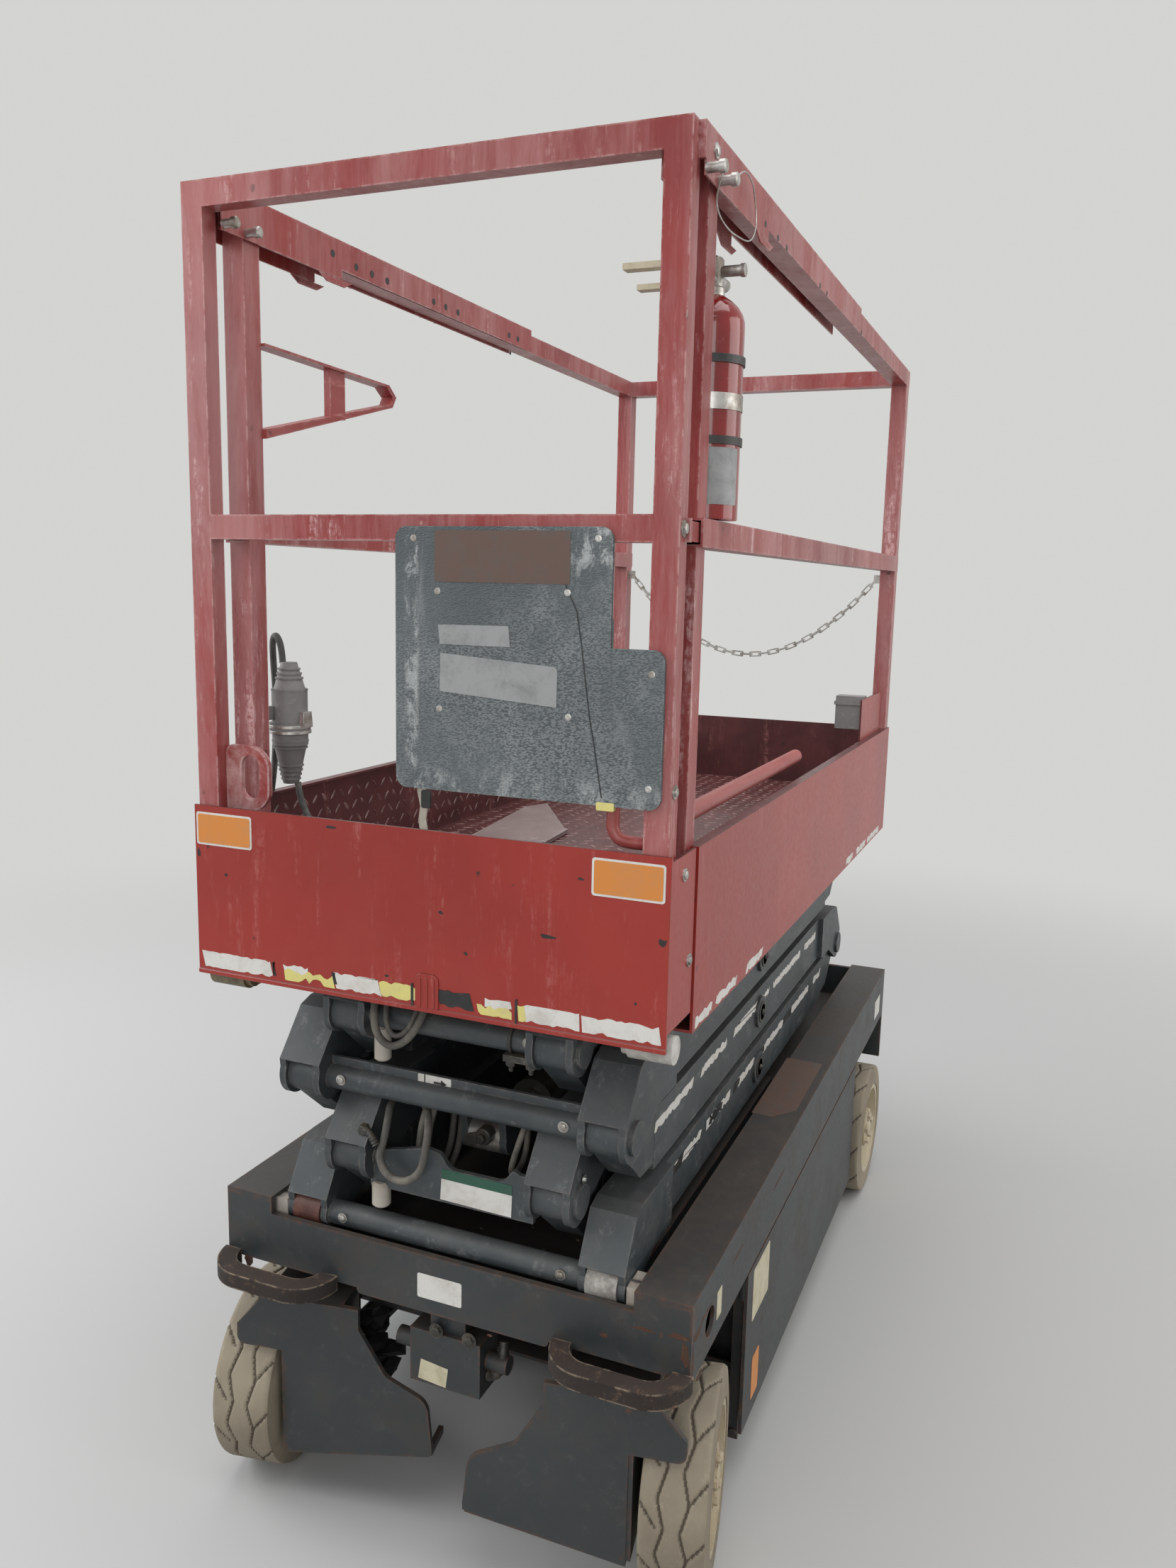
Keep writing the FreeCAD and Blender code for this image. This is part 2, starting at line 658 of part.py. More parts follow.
def knuckle(side, label):
    wheel_in = d.wheel_middle - d.wheel_width / 2 - d.kingpin_side
    plate_low = d.yoke_top - d.yoke_thick
    top = block((-70, d.guard_ahead), (side * -70, side * 60), (plate_low, d.yoke_top))
    pin = bar("z", (plate_low, d.beam_bottom + 22), 0, 0, d.kingpin_radius)
    ahead = (d.guard_ahead - d.guard_thick, d.guard_ahead)
    toe = -d.toe_reach
    outline = [(side * 26, d.guard_bottom), (side * 26, 262), (side * 108, 262), (side * 108, 296),
               (side * 60, d.yoke_top), (side * -98, d.yoke_top), (side * -98, d.yoke_top - 34), (side * -142, 246),
               (side * (toe + 8), d.toe_high), (side * toe, d.toe_high - 80), (side * (toe + 4), 122)]
    guard = plate("yz", outline, ahead, rounds=[(7, 26), (8, 30), (2, 14)])
    flange = block((d.guard_ahead - d.toe_depth, d.guard_ahead - 1), (side * toe, side * (toe + 8)),
                   (124, d.toe_high - 78))
    cheek = plate("xz", [(-72, plate_low + 1), (-72, 120), (-40, 92), (d.guard_ahead - 2, 92),
                         (d.guard_ahead - 2, plate_low + 1)],
                  (side * (wheel_in - 22), side * (wheel_in - 10)))
    motor = bar("y", (side * -40, side * (wheel_in - 12)), 0, d.wheel_radius, 52)
    spindle = bar("y", (side * (wheel_in - 15), side * (d.wheel_middle + 12 - d.kingpin_side)),
                  0, d.wheel_radius, d.axle_radius)
    arm = block((-d.tie_arm_back - 16, -60), (-16, 16),
                (plate_low, d.yoke_top))
    hole = bar("z", (plate_low - 1, d.yoke_top + 1), -d.tie_arm_back, 0,
               d.tie_pin_radius + d.running_gap)
    body = cut(join([top, pin, guard, flange, cheek, motor, spindle, arm]), [hole])
    place(body, d.front_axle, side * d.kingpin_side, 0, axis=(0, 0, 1), angle=d.steer_rest)
    return keep(body, label)


def tie_rod():
    """The bar between the steering arms, which stays parallel to the axle as both turn alike."""
    height = d.yoke_top - d.yoke_thick - 13
    rod = bar("y", (-d.kingpin_side, d.kingpin_side), 0, height, 9)
    ends = both(lambda side: [bar("z", (height - 11, height + 11), 0, side * d.kingpin_side, 15),
                              bar("z", (height, d.yoke_top + 2), 0, side * d.kingpin_side, d.tie_pin_radius)])
    body = join([rod] + ends)
    angle = math.radians(d.steer_rest.number)
    back = Size(d.tie_arm_back.number * math.cos(angle), "(dims.tie_arm_back * cos(dims.steer_rest))")
    across = Size(d.tie_arm_back.number * math.sin(angle), "(dims.tie_arm_back * sin(dims.steer_rest))")
    place(body, d.front_axle - back, -across, 0)
    return keep(body, "tie_rod")


def wheel(side, centre_x, label, steered):
    """A solid tyre and its rim about the wheel's axis; a front one stands turned with its knuckle."""
    middle = side * (d.wheel_middle - d.kingpin_side) if steered else side * d.wheel_middle
    low, high = low_high(middle - d.wheel_width / 2, middle + d.wheel_width / 2)
    shoulder = 8
    at_x = 0 if steered else centre_x
    tread = bar("y", (low + shoulder, high - shoulder), at_x, d.wheel_radius, d.wheel_radius)
    flanks = [bar("y", (low, low + shoulder), at_x, d.wheel_radius, d.wheel_radius - shoulder, d.wheel_radius),
              bar("y", (high - shoulder, high), at_x, d.wheel_radius, d.wheel_radius,
                  d.wheel_radius - shoulder)]
    bead = bar("y", (low - 1, high + 1), at_x, d.wheel_radius, d.rim_radius)
    tyre = cut(join([tread] + flanks), [bead])
    disc = bar("y", (low + 2, high - 2), at_x, d.wheel_radius, d.rim_radius)
    outside = high - 2 if side > 0 else low + 2
    dish = bar("y", (outside, outside - side * d.hub_recess), at_x, d.wheel_radius, d.rim_radius - 12)
    hub = bar("y", (outside - side * (d.hub_recess + 2), outside - side * 4), at_x, d.wheel_radius, d.hub_radius)
    bore = bar("y", (low, high), at_x, d.wheel_radius, d.wheel_bore)
    rim = cut(join([cut(disc, [dish]), hub]), [bore])
    for piece, name in ((tyre, "tyre"), (rim, "rim")):
        if steered:
            place(piece, centre_x, side * d.kingpin_side, 0, axis=(0, 0, 1), angle=d.steer_rest)
        keep(piece, "%s_%s" % (label, name))


# Scissor arms

def level_height(level):
    """The height of the tubes of a level, half way between its pins."""
    return d.pin_height + (level - 0.5) * d.level_rise


def arm_end(side, plane, level, near, up):
    """The end of one arm, dog-legged from its tube to its pin.

    An end that points down is a fork of two lugs with the pin across; one that points up is a boss
    with a bore for the pin of the fork above it."""
    way = 1 if near else -1
    pin_x = d.near_pin if near else d.far_pin
    tube_z = level_height(level)
    pin_z = tube_z + (d.level_rise / 2 if up else -d.level_rise / 2)
    half = d.arm_height / 2
    middle = side * plane
    into = 180
    if up:
        wide = (middle - d.arm_width / 2 + 0.5, middle + d.arm_width / 2 - 0.5)
        web = plate("xz", [
            (pin_x - way * into, tube_z - half + 6), (pin_x - way * into, tube_z + half - 6),
            (pin_x - way * (d.tube_stop - 8), tube_z + half - 6), (pin_x - way * 20, pin_z + 24),
            (pin_x + way * 16, pin_z - 22), (pin_x - way * 60, tube_z - half + 14)], wide)
        head = bar("y", wide, pin_x, pin_z, d.boss_radius)
        hole = bar("y", (wide[0] - 1, wide[1] + 1), pin_x, pin_z, d.pin_radius + d.running_gap)
        return [web, head], [hole]
    foot = level == 1 and near
    radius = d.foot_radius if foot else d.lug_radius
    tube_top = tube_z + half
    nose = (pin_x + way * (radius - 1), pin_z + 27)
    brow = (pin_x - way * 20, tube_top - 8)
    pieces = []
    for edge in (1, -1):
        face = middle + edge * d.arm_width / 2
        wide = (face, face + edge * d.lug_thick)
        pieces.append(plate("xz", [
            (pin_x - way * into, tube_z - half), (pin_x - way * into, tube_top),
            (pin_x - way * 46, tube_top), brow, nose, (pin_x + way * (radius - 6), pin_z - 8),
            (pin_x - way * 12, pin_z - radius + 2), (pin_x - way * (d.tube_stop - 20), tube_z - half)], wide))
        pieces.append(bar("y", wide, pin_x, pin_z, radius))
    inner, thick = (middle - d.arm_width / 2 - 1, middle + d.arm_width / 2 + 1), d.cap_thick
    pieces.append(plate("xz", [
        (pin_x - way * d.tube_stop, tube_top - thick), (pin_x - way * d.tube_stop, tube_top),
        (pin_x - way * 46, tube_top), brow, nose, (nose[0] - way * thick * 0.78, nose[1] - thick * 0.63),
        (brow[0] - way * 4, brow[1] - thick + 1), (pin_x - way * 48, tube_top - thick)], inner))
    if not foot:
        face = d.arm_width / 2 + d.lug_thick
        pieces.append(bar("y", (middle - face - 2, middle + face + 2), pin_x, pin_z, d.pin_radius))
        pieces.append(bar("y", (middle + side * (face - 1), middle + side * (face + 6)), pin_x, pin_z, d.pin_head))
    return pieces, []


def cross_bar(plane, x, z, radius):
    reach = plane - d.arm_width / 2 - d.lug_thick / 2
    return bar("y", (-reach, reach), x, z, radius)


def arm_pair(level, inner):
    """Both arms of one pair of a level and the tubes that tie them.

    Inner arms of an odd level rise from the far end to the near end, and so on up the stack."""
    plane = d.inner_plane if inner else d.outer_plane
    near_up = inner == (level % 2 == 1)
    tube_z = level_height(level)
    pieces, holes = [], []
    for side in (1, -1):
        pieces.append(square_tube("x", (d.far_pin + d.tube_stop, d.near_pin - d.tube_stop),
                                  side * plane, tube_z, d.arm_width, d.arm_height, d.arm_wall))
        for near in (True, False):
            up = near_up == near
            solids, bores = arm_end(side, plane, level, near, up)
            pieces += solids
            holes += bores
        hub_x = (d.near_pin + d.far_pin) / 2
        if inner:
            pieces.append(bar("y", (side * (plane - 10), side * (d.outer_plane + d.arm_width / 2 + 8)),
                              hub_x, tube_z, d.pin_radius))
            pieces.append(bar("y", (side * (plane - d.arm_width / 2), side * (plane + d.arm_width / 2 + 6)),
                              hub_x, tube_z, d.boss_radius))
        else:
            holes.append(bar("y", (side * (plane - 60), side * (plane + 60)), hub_x, tube_z,
                             d.pin_radius + d.running_gap))
            pieces.append(bar("y", (side * (plane - d.arm_width / 2 - 4), side * (plane + d.arm_width / 2 + 6)),
                              hub_x, tube_z, d.boss_radius))
    low_x = d.far_pin if near_up else d.near_pin
    low_z = tube_z - d.level_rise / 2
    return pieces, holes, low_x, low_z


def scissor_stack():
    for level in (1, 2, 3, 4):
        for inner in (True, False):
            plane = d.inner_plane if inner else d.outer_plane
            pieces, holes, low_x, low_z = arm_pair(level, inner)
            if level == 2 and inner:
                pieces.append(notched_plate(low_x, low_z))
            elif not (level == 1 and inner):
                pieces.append(cross_bar(plane, low_x, low_z, d.cross_radius))
            if inner:
                tie_x = d.near_pin - 150 if level == 4 else d.far_pin + 150
                reach = plane - d.arm_width / 2 + 1
                pieces.append(bar("y", (-reach, reach), tie_x, level_height(level) - 26, d.cross_radius))
            if level == 3 and not inner:
                reach = plane - d.arm_width / 2 - d.lug_thick / 2
                pieces.append(block((low_x - 6, low_x), (-reach, reach), (low_z + 10, low_z + 32)))
            if level == 1 and not inner:
                for side in (1, -1):
                    pieces.append(bar("y", (side * (plane - 40), side * (d.block_outer - 20)), low_x, low_z,
                                      d.roller_axle))
            if level == 4 and not inner:
                for side in (1, -1):
                    top_z = low_z + d.level_rise
                    pieces.append(bar("y", (side * (plane + 20), side * (d.platform_channel + d.channel_deep - 9)),
                                      d.near_pin, top_z, d.roller_axle))
            if level == 1 and inner:
                pieces += cylinder_ears(d.barrel_pin_x, d.barrel_pin_z, level_height(1) - 20)
            if level == 2 and inner:
                pieces += cylinder_ears(d.rod_pin_x, d.rod_pin_z, level_height(2))
            body = join(pieces)
            if holes:
                body = cut(body, holes)
            keep(body, "%s_arms_%d" % ("inner" if inner else "outer", level))


def notched_plate(x, z):
    """The flat tie across the second level's near end, scooped out above for the hoses."""
    reach = d.inner_plane - d.arm_width / 2 - d.lug_thick / 2
    return plate("yz", [(-reach, z - 46), (reach, z - 46), (reach, z + 24), (116, z + 24), (104, z + 30),
                        (88, z + 8), (0, z + 8), (-16, z + 30), (-40, z + 34), (-reach, z + 10)],
                 (x + 4, x + 12), rounds=[(5, 20), (6, 20), (4, 6), (7, 8)])


def cylinder_ears(pin_x, pin_z, tube_z):
    """Two ears on a cross tube, each with a short stub of pin that stops before the cylinder's eye."""
    half_gap = d.ear_gap / 2
    pieces = []
    for side in (1, -1):
        wide = (side * half_gap, side * (half_gap + 12))
        pieces.append(plate("xz", [(pin_x - 24, pin_z), (pin_x - 30, tube_z), (pin_x + 30, tube_z),
                                   (pin_x + 24, pin_z)], wide))
        pieces.append(bar("y", wide, pin_x, pin_z, d.eye_radius))
    reach = d.inner_plane - d.arm_width / 2
    for side in (1, -1):
        pieces.append(bar("y", (side * half_gap, side * (reach + 3)), pin_x, tube_z, d.cross_radius))
    return pieces


def rollers_and_blocks():
    wide = d.arm_width / 2 - 1
    bore = d.roller_axle + d.running_gap
    rollers = both(lambda side: [cut(bar("y", (side * (d.outer_plane - wide), side * (d.outer_plane + wide)),
                                         d.near_pin, d.pin_height, d.roller_radius),
                                     [bar("y", (side * (d.outer_plane - wide - 1), side * (d.outer_plane + wide + 1)),
                                      d.near_pin, d.pin_height, bore)])])
    keep(gather(rollers), "base_rollers")
    channel_floor = d.base_top - d.plate_thick - d.channel_open
    blocks = both(lambda side: [cut(block((d.near_pin - 26, d.near_pin + 20),
                                          (side * (d.outer_plane + d.arm_width / 2 + d.lug_thick + 2),
                                           side * d.block_outer),
                                          (channel_floor + d.running_gap, channel_floor + d.channel_open - 2)),
                                    [bar("y", (side * (d.outer_plane + d.arm_width / 2), side * (d.block_outer + 1)),
                                         d.near_pin, d.pin_height, bore)])])
    keep(gather(blocks), "slide_blocks")
    top_z = d.stack_top
    tops = both(lambda side: [cut(bar("y", (side * (d.platform_channel + 1),
                                            side * (d.platform_channel + d.channel_deep - 8)),
                                      d.near_pin, top_z, d.top_roller),
                                  [bar("y", (side * d.platform_channel, side * (d.platform_channel + d.channel_deep - 7)),
                                       d.near_pin, top_z, bore)])])
    keep(gather(tops), "top_rollers")


def lift_cylinder():
    """The barrel and the rod, level in the sheet's frame and then tilted onto the line of their pins."""
    rise, reach = d.rod_pin_z - d.barrel_pin_z, d.rod_pin_x - d.barrel_pin_x
    length = Size(math.hypot(rise.number, reach.number),
                  "sqrt(%s)" % (rise * rise + reach * reach).formula)
    slope = Size(-math.degrees(math.atan2(rise.number, reach.number)),
                 "(0 - atan(%s) / 1deg)" % (rise / reach).formula)
    eye = (d.running_gap - d.ear_gap / 2, d.ear_gap / 2 - d.running_gap)
    barrel_end = length - 150
    shell = bar("x", (42, barrel_end), 0, 0, d.barrel_radius)
    back_eye = bar("y", eye, 0, 0, d.eye_radius)
    neck = block((0, 60), (-20, 20), (-20, 20))
    bore = bar("x", (120, barrel_end + 1), 0, 0, d.rod_radius + d.running_gap)
    barrel = cut(join([shell, back_eye, neck]), [bore])
    rod = join([bar("x", (400, length - 15), 0, 0, d.rod_radius),
                bar("y", eye, length, 0, d.eye_radius)])
    for piece, label in ((barrel, "cylinder_barrel"), (rod, "cylinder_rod")):
        place(piece, d.barrel_pin_x, 0, d.barrel_pin_z, axis=(0, 1, 0), angle=slope)
        keep(piece, label)


# Platform

def platform_frame():
    """The deck's frame: side sills, end members and the channels that the top rollers run in."""
    low = d.frame_bottom
    sills = both(lambda side: [block((d.platform_rear, d.platform_front),
                                     (side * (d.platform_half - 40), side * d.platform_half),
                                     (low, low + d.sheet_thick)),
                               block((d.platform_rear, d.platform_front),
                                     (side * (d.platform_half - d.sheet_thick), side * d.platform_half),
                                     (low, d.floor_top))])
    top_z = d.stack_top
    half = d.top_roller + d.running_gap
    channels = both(lambda side: [
        block((d.platform_rear, d.platform_front - 2), (side * (d.platform_channel + d.channel_deep - 6),
                                                        side * (d.platform_channel + d.channel_deep)),
              (top_z - half - 6, top_z + half + 6)),
        block((d.platform_rear, d.platform_front - 2), (side * d.platform_channel,
                                                        side * (d.platform_channel + d.channel_deep)),
              (top_z - half - 6, top_z - half)),
        block((d.platform_rear, d.platform_front - 2), (side * d.platform_channel,
                                                        side * (d.platform_channel + d.channel_deep)),
              (top_z + half, top_z + half + 6)),
        block((d.platform_rear, d.platform_front - 2), (side * (d.platform_channel + d.channel_deep - 6),
                                                        side * (d.platform_channel + d.channel_deep)),
              (top_z, d.floor_top - d.floor_thick + 1))])
    rear = block((d.platform_rear, d.platform_rear + 6), (-d.platform_half, d.platform_half),
                 (low, d.floor_top))
    joists = [block((x, x + 30), (-d.platform_half + 2, d.platform_half - 2),
                    (d.floor_top - d.floor_thick - 8, d.floor_top - d.floor_thick + 1))
              for x in (d.platform_rear + 290, d.platform_rear + 690, d.platform_rear + 1090,
                        d.platform_front - 38)]
    ears = []
    for side in (1, -1):
        for edge in (1, -1):
            face = side * d.inner_plane + edge * d.arm_width / 2
            wide = (face, face + edge * d.lug_thick)
            ears.append(block((d.far_pin - 30, d.far_pin + 30), wide, (top_z, d.floor_top - d.floor_thick + 1)))
            ears.append(bar("y", wide, d.far_pin, top_z, 30))
        ears.append(bar("y", (side * (d.inner_plane - d.arm_width / 2 - 3),
                              side * (d.inner_plane + d.arm_width / 2 + 3)), d.far_pin, top_z, d.pin_radius))
    floor = block((d.platform_rear, d.platform_front), (-d.platform_half + 2, d.platform_half - 2),
                  (d.floor_top - d.floor_thick, d.floor_top))
    return keep(join([rear, floor] + joists + sills + channels + ears), "platform_frame")


def toe_boards():
    """The pressed sides above the deck and the one across the entrance end."""
    sides = both(lambda side: [block((d.platform_rear, d.platform_front),
                                     (side * (d.platform_half - d.sheet_thick), side * d.platform_half),
                                     (d.floor_top, d.toe_top)),
                               block((d.platform_rear, d.platform_front),
                                     (side * (d.platform_half - 16), side * d.platform_half),
                                     (d.toe_top - d.sheet_thick, d.toe_top))])
    across = block((d.platform_rear, d.platform_rear + d.sheet_thick), (-d.platform_half, d.platform_half),
                   (d.floor_top, d.toe_top))
    rest = d.platform_half - 18
    raised = block((d.platform_rear + 75, d.platform_rear + 326), (rest, rest + d.sheet_thick),
                   (d.toe_top - d.sheet_thick, d.toe_top + d.box_rest_high))
    rooms = [post_room(side, front) for side in (1, -1) for front in (True, False)]
    return keep(cut(join(sides + [across, raised]), rooms), "toe_boards")


def document_box():
    """The small closed box on the raised plate of the left toe board."""
    rest = d.platform_half - 18 - d.running_gap / 3
    front = d.platform_rear + 292
    box = block((front - 44, front), (rest - 61, rest), (d.toe_top + 22, d.toe_top + 96))
    lid = block((front - 47, front + 3), (rest - 64, rest), (d.toe_top + 76, d.toe_top + 84))
    return keep(join([box, lid]), "document_box")


def post_centre(side, front):
    """Where a guardrail post stands; a front one is set in a little, clear of the sliding rails."""
    middle = d.platform_half - d.sheet_thick - d.rail_tube / 2
    if front:
        return d.front_post - d.rail_tube / 2, side * (middle - 8)
    return d.platform_rear + d.sheet_thick + d.running_gap / 3 + d.rail_tube / 2, side * (middle - 0.1)


def post_room(side, front):
    x, y = post_centre(side, front)
    half = d.rail_tube / 2 + d.running_gap / 3
    return block((x - half, x + half), (y - half, y + half), (d.floor_top - 1, d.toe_top + 1))


def main_guardrail():
    """Posts at both ends of the deck, the top and middle rails, and the top rail over the entrance."""
    tube, wall = d.rail_tube, d.rail_wall
    middle = d.platform_half - d.rail_inset - tube / 2
    top_z = d.rail_top - d.rail_inset - tube / 2
    mid_z = d.mid_rail_top - tube / 2
    pieces = []
    for side in (1, -1):
        for front in (True, False):
            post_x, post_y = post_centre(side, front)
            pieces.append(square_tube("z", (d.floor_top, top_z), post_x, post_y, tube, tube, wall))
        pieces.append(square_tube("x", (d.platform_rear, d.front_post), side * middle, top_z, tube, tube, wall))
        pieces.append(square_tube("x", (d.platform_rear, d.front_post), side * middle, mid_z, tube, tube, wall))
    rear_x = post_centre(1, False)[0]
    pieces.append(square_tube("y", (-middle, middle), rear_x, top_z, tube, tube, wall))
    frame = join(pieces)
    clear = both(lambda side: [square_clear(side, middle, mid_z)])
    return keep(cut(frame, clear), "main_guardrail")


def square_clear(side, middle, mid_z):
    """The run of the extension's middle rail inside the main one."""
    half = d.rail_tube / 2 - d.rail_wall
    return block((d.slider_rear - 60, d.front_post + 5), (side * middle - half, side * middle + half),
                 (mid_z - half, mid_z + half))


def entry_chain():
    """The chain across the entrance: links threaded through each other along its sag."""
    wire, hole, thick, count, steps = 3, 7, 4.4, 33, 400
    x = post_centre(1, False)[0]
    half_span = d.platform_half - d.rail_inset - d.rail_tube - 9
    run = [half_span.number * (2 * i / steps - 1) for i in range(steps + 1)]
    sag = [d.chain_sag.number * (1 - (y / half_span.number) ** 2) for y in run]
    along = [0]
    for i in range(steps):
        along.append(along[-1] + math.hypot(run[i + 1] - run[i], sag[i + 1] - sag[i]))
    pitch = along[-1] / count
    length = pitch + 2 * wire + d.running_gap
    links = []
    for i in range(count):
        target = (i + 0.5) * pitch
        spot = max(step for step in range(steps) if along[step] <= target)
        part_way = (target - along[spot]) / (along[spot + 1] - along[spot])
        share = (run[spot] + (run[spot + 1] - run[spot]) * part_way) / half_span.number
        slope = math.degrees(math.atan2(2 * d.chain_sag.number * share, half_span.number))
        outer = block((-length / 2, length / 2), (-wire - hole / 2, wire + hole / 2), (-thick / 2, thick / 2))
        inside = block((wire - length / 2, length / 2 - wire), (-hole / 2, hole / 2), (-thick, thick))
        link = cut(outer, [inside])
        upright = FreeCAD.Rotation(FreeCAD.Vector(1, 0, 0), 90 * (i % 2))
        across = FreeCAD.Rotation(FreeCAD.Vector(0, 0, 1), 90)
        tilt = FreeCAD.Rotation(FreeCAD.Vector(1, 0, 0), slope)
        link.Placement = FreeCAD.Placement(FreeCAD.Vector(), tilt * across * upright)
        place(link, x, half_span * share, d.chain_top - d.chain_sag * (1 - share * share))
        if i in (0, count - 1):
            side = -1 if i == 0 else 1
            post_face = d.platform_half - d.sheet_thick - d.rail_tube - 0.1
            eye = block((x - 5, x + 5), (side * (post_face - 16), side * (post_face - d.running_gap / 3)),
                        (d.chain_top - 12, d.chain_top + 8))
            link = join([link, eye])
        links.append(link)
    return keep(gather(links), "entry_chain")


def support_rollers():
    """The rollers at the deck's front corners that the extension runs on, each on a lug under its channel."""
    axle_x, axle_z, radius = d.platform_front + 62, d.extension_bottom - 9, 19
    channel_low = d.stack_top - d.top_roller - d.running_gap - 6
    inner = d.platform_channel + 2

    def corner(side):
        roller = bar("y", (side * (inner + 9), side * (d.platform_half - 2)), axle_x, axle_z, radius)
        lug = block((d.platform_front - 70, axle_x), (side * inner, side * (inner + 9)),
                    (axle_z - 14, channel_low - d.running_gap / 3))
        boss = bar("y", (side * inner, side * (inner + 10)), axle_x, axle_z, radius - 4)
        return [join([roller, lug, boss])]
    return keep(gather(both(corner)), "support_rollers")


# Extension

def extension_deck():
    """The roll-out floor, its front toe panel and the panel's side returns."""
    bottom = d.floor_top + d.running_gap
    half = d.deck_half
    floor = block((d.extension_rear, d.extension_front - 2), (-half, half), (bottom, bottom + 6))
    panel = block((d.extension_front, d.extension_front + d.sheet_thick), (-d.extension_half, d.extension_half),
                  (d.extension_bottom, d.end_panel_top))
    returns = both(lambda side: [block((d.platform_front + 6, d.extension_front + 1),
                                       (side * (d.extension_half - d.sheet_thick), side * d.extension_half),
                                       (d.extension_bottom + 24, d.end_panel_top - 6))])
    joint = block((d.extension_front - 10, d.extension_front + 1), (-half, half), (bottom, bottom + 6))
    foot = block((d.extension_front - 24, d.extension_front + 1), (-d.extension_half, d.extension_half),
                 (d.extension_bottom + 24, d.extension_bottom + 28))
    return keep(join([floor, panel, joint, foot] + returns), "extension_deck")


def extension_rails():
    """The end frame, the top channels that slide over the main top rails, and the middle sliders."""
    back = d.extension_front - d.end_post_deep
    outer, inner = d.end_post_half, d.end_post_half - d.end_post_wide
    depth = (back, d.extension_front)
    pieces = both(lambda side: [block(depth, (side * inner, side * outer), (d.end_panel_top, d.rail_top))])
    pieces.append(block(depth, (-outer, outer), (d.rail_top - d.end_post_wide, d.rail_top)))
    pieces.append(block(depth, (-outer, outer), (d.mid_rail_top - 33, d.mid_rail_top)))
    pieces += both(lambda side: [block(depth, (side * inner, side * outer),
                                       (d.extension_bottom + 30, d.end_panel_top + 1))])
    wall = 2.5
    for side in (1, -1):
        face = side * d.platform_half
        far = side * (d.platform_half - d.channel_wide)
        pieces.append(block((d.channel_rear, back + 1), (far, face), (d.rail_top - wall, d.rail_top)))
        for edge, thick in ((face, -side * wall), (far, side * wall)):
            pieces.append(block((d.channel_rear, d.channel_step), (edge, edge + thick),
                                (d.rail_top - d.channel_high_far, d.rail_top)))
            pieces.append(block((d.channel_step, back + 1), (edge, edge + thick),
                                (d.rail_top - d.channel_high_near, d.rail_top)))
        centre = side * (d.platform_half - d.rail_inset - d.rail_tube / 2)
        mid_z = d.mid_rail_top - d.rail_tube / 2
        pieces.append(square_tube("x", (d.slider_rear, back + 1), centre, mid_z, d.slider_tube, d.slider_tube, 3))
        pieces.append(block((back, back + 6), (side * inner, side * (d.platform_half - 2)),
                            (mid_z - 14, mid_z + 14)))
        pieces.append(block((back, back + 6), (side * inner, face), (d.rail_top - 40, d.rail_top)))
    return keep(join(pieces), "extension_rails")


def control_panel():
    front = d.end_reach
    sheet_plate = plate("yz", [
        (d.panel_right, d.panel_bottom), (d.panel_left_low, d.panel_bottom), (d.panel_left_low, d.panel_notch),
        (d.panel_left_high, d.panel_notch), (d.panel_left_high, d.panel_top), (d.panel_right, d.panel_top)],
        (d.extension_front + 0.2, front),
        rounds=[(0, d.panel_round), (1, d.panel_round), (2, d.panel_round), (4, d.panel_round),
                (5, d.panel_round)])
    return keep(sheet_plate, "control_panel")


def control_console():
    """The control box hung behind the middle rail and the panel, with its lever and stop button."""
    back = d.extension_front - d.end_post_deep - d.running_gap / 3
    top = d.mid_rail_top - d.console_drop
    low, step = top - d.console_high, top - 50
    box = plate("xz", [(back - d.console_deep, low), (back - d.console_deep, step),
                       (back - 34, top), (back, top), (back, low)], (40, 230))
    hook = block((back - 3, back), (60, 210), (top - 1, d.mid_rail_top - 4))
    lever = bar("z", (top - 35, top + 28), back - 62, 90, 9)
    knob = bar("z", (top + 20, top + 50), back - 62, 90, 14)
    stop = bar("z", (top - 40, top + 5), back - 60, 185, 16)
    return keep(join([box, hook, lever, knob, stop]), "control_console")


def fire_extinguisher():
    x, y = d.bottle_x, d.bottle_y
    body = bar("z", (d.bottle_bottom, d.bottle_top - 30), x, y, d.bottle_radius)
    neck = bar("z", (d.bottle_top - 31, d.bottle_top), x, y, d.bottle_radius, 14)
    valve = bar("z", (d.bottle_top - 1, d.bottle_top + 42), x, y, 12)
    lever = block((x - 9, x + 9), (y - 120, y + 6), (d.bottle_top + 40, d.bottle_top + 48))
    grip = block((x - 8, x + 8), (y - 100, y + 4), (d.bottle_top + 14, d.bottle_top + 21))
    nozzle = bar("x", (x - 48, x), y, d.bottle_top + 24, 8)
    return keep(join([body, neck, valve, lever, grip, nozzle]), "fire_extinguisher")


def extinguisher_straps():
    """The bands round the bottle and the post."""
    x, y = d.bottle_x, d.bottle_y
    post_back = d.front_post - d.rail_tube
    bands = []
    for height in (d.bottle_bottom + 92, d.bottle_bottom + 190):
        ring = cut(bar("z", (height, height + 10), x, y, d.bottle_radius + 3),
                   [bar("z", (height - 1, height + 11), x, y, d.bottle_radius + d.running_gap)])
        lash = block((x + d.bottle_radius - 1, post_back - d.running_gap), (y - 14, y + 6), (height, height + 10))
        bands.append(cut(join([ring, lash]),
                         [bar("z", (height - 1, height + 11), x, y, d.bottle_radius + d.running_gap)]))
    return keep(gather(bands), "extinguisher_straps")


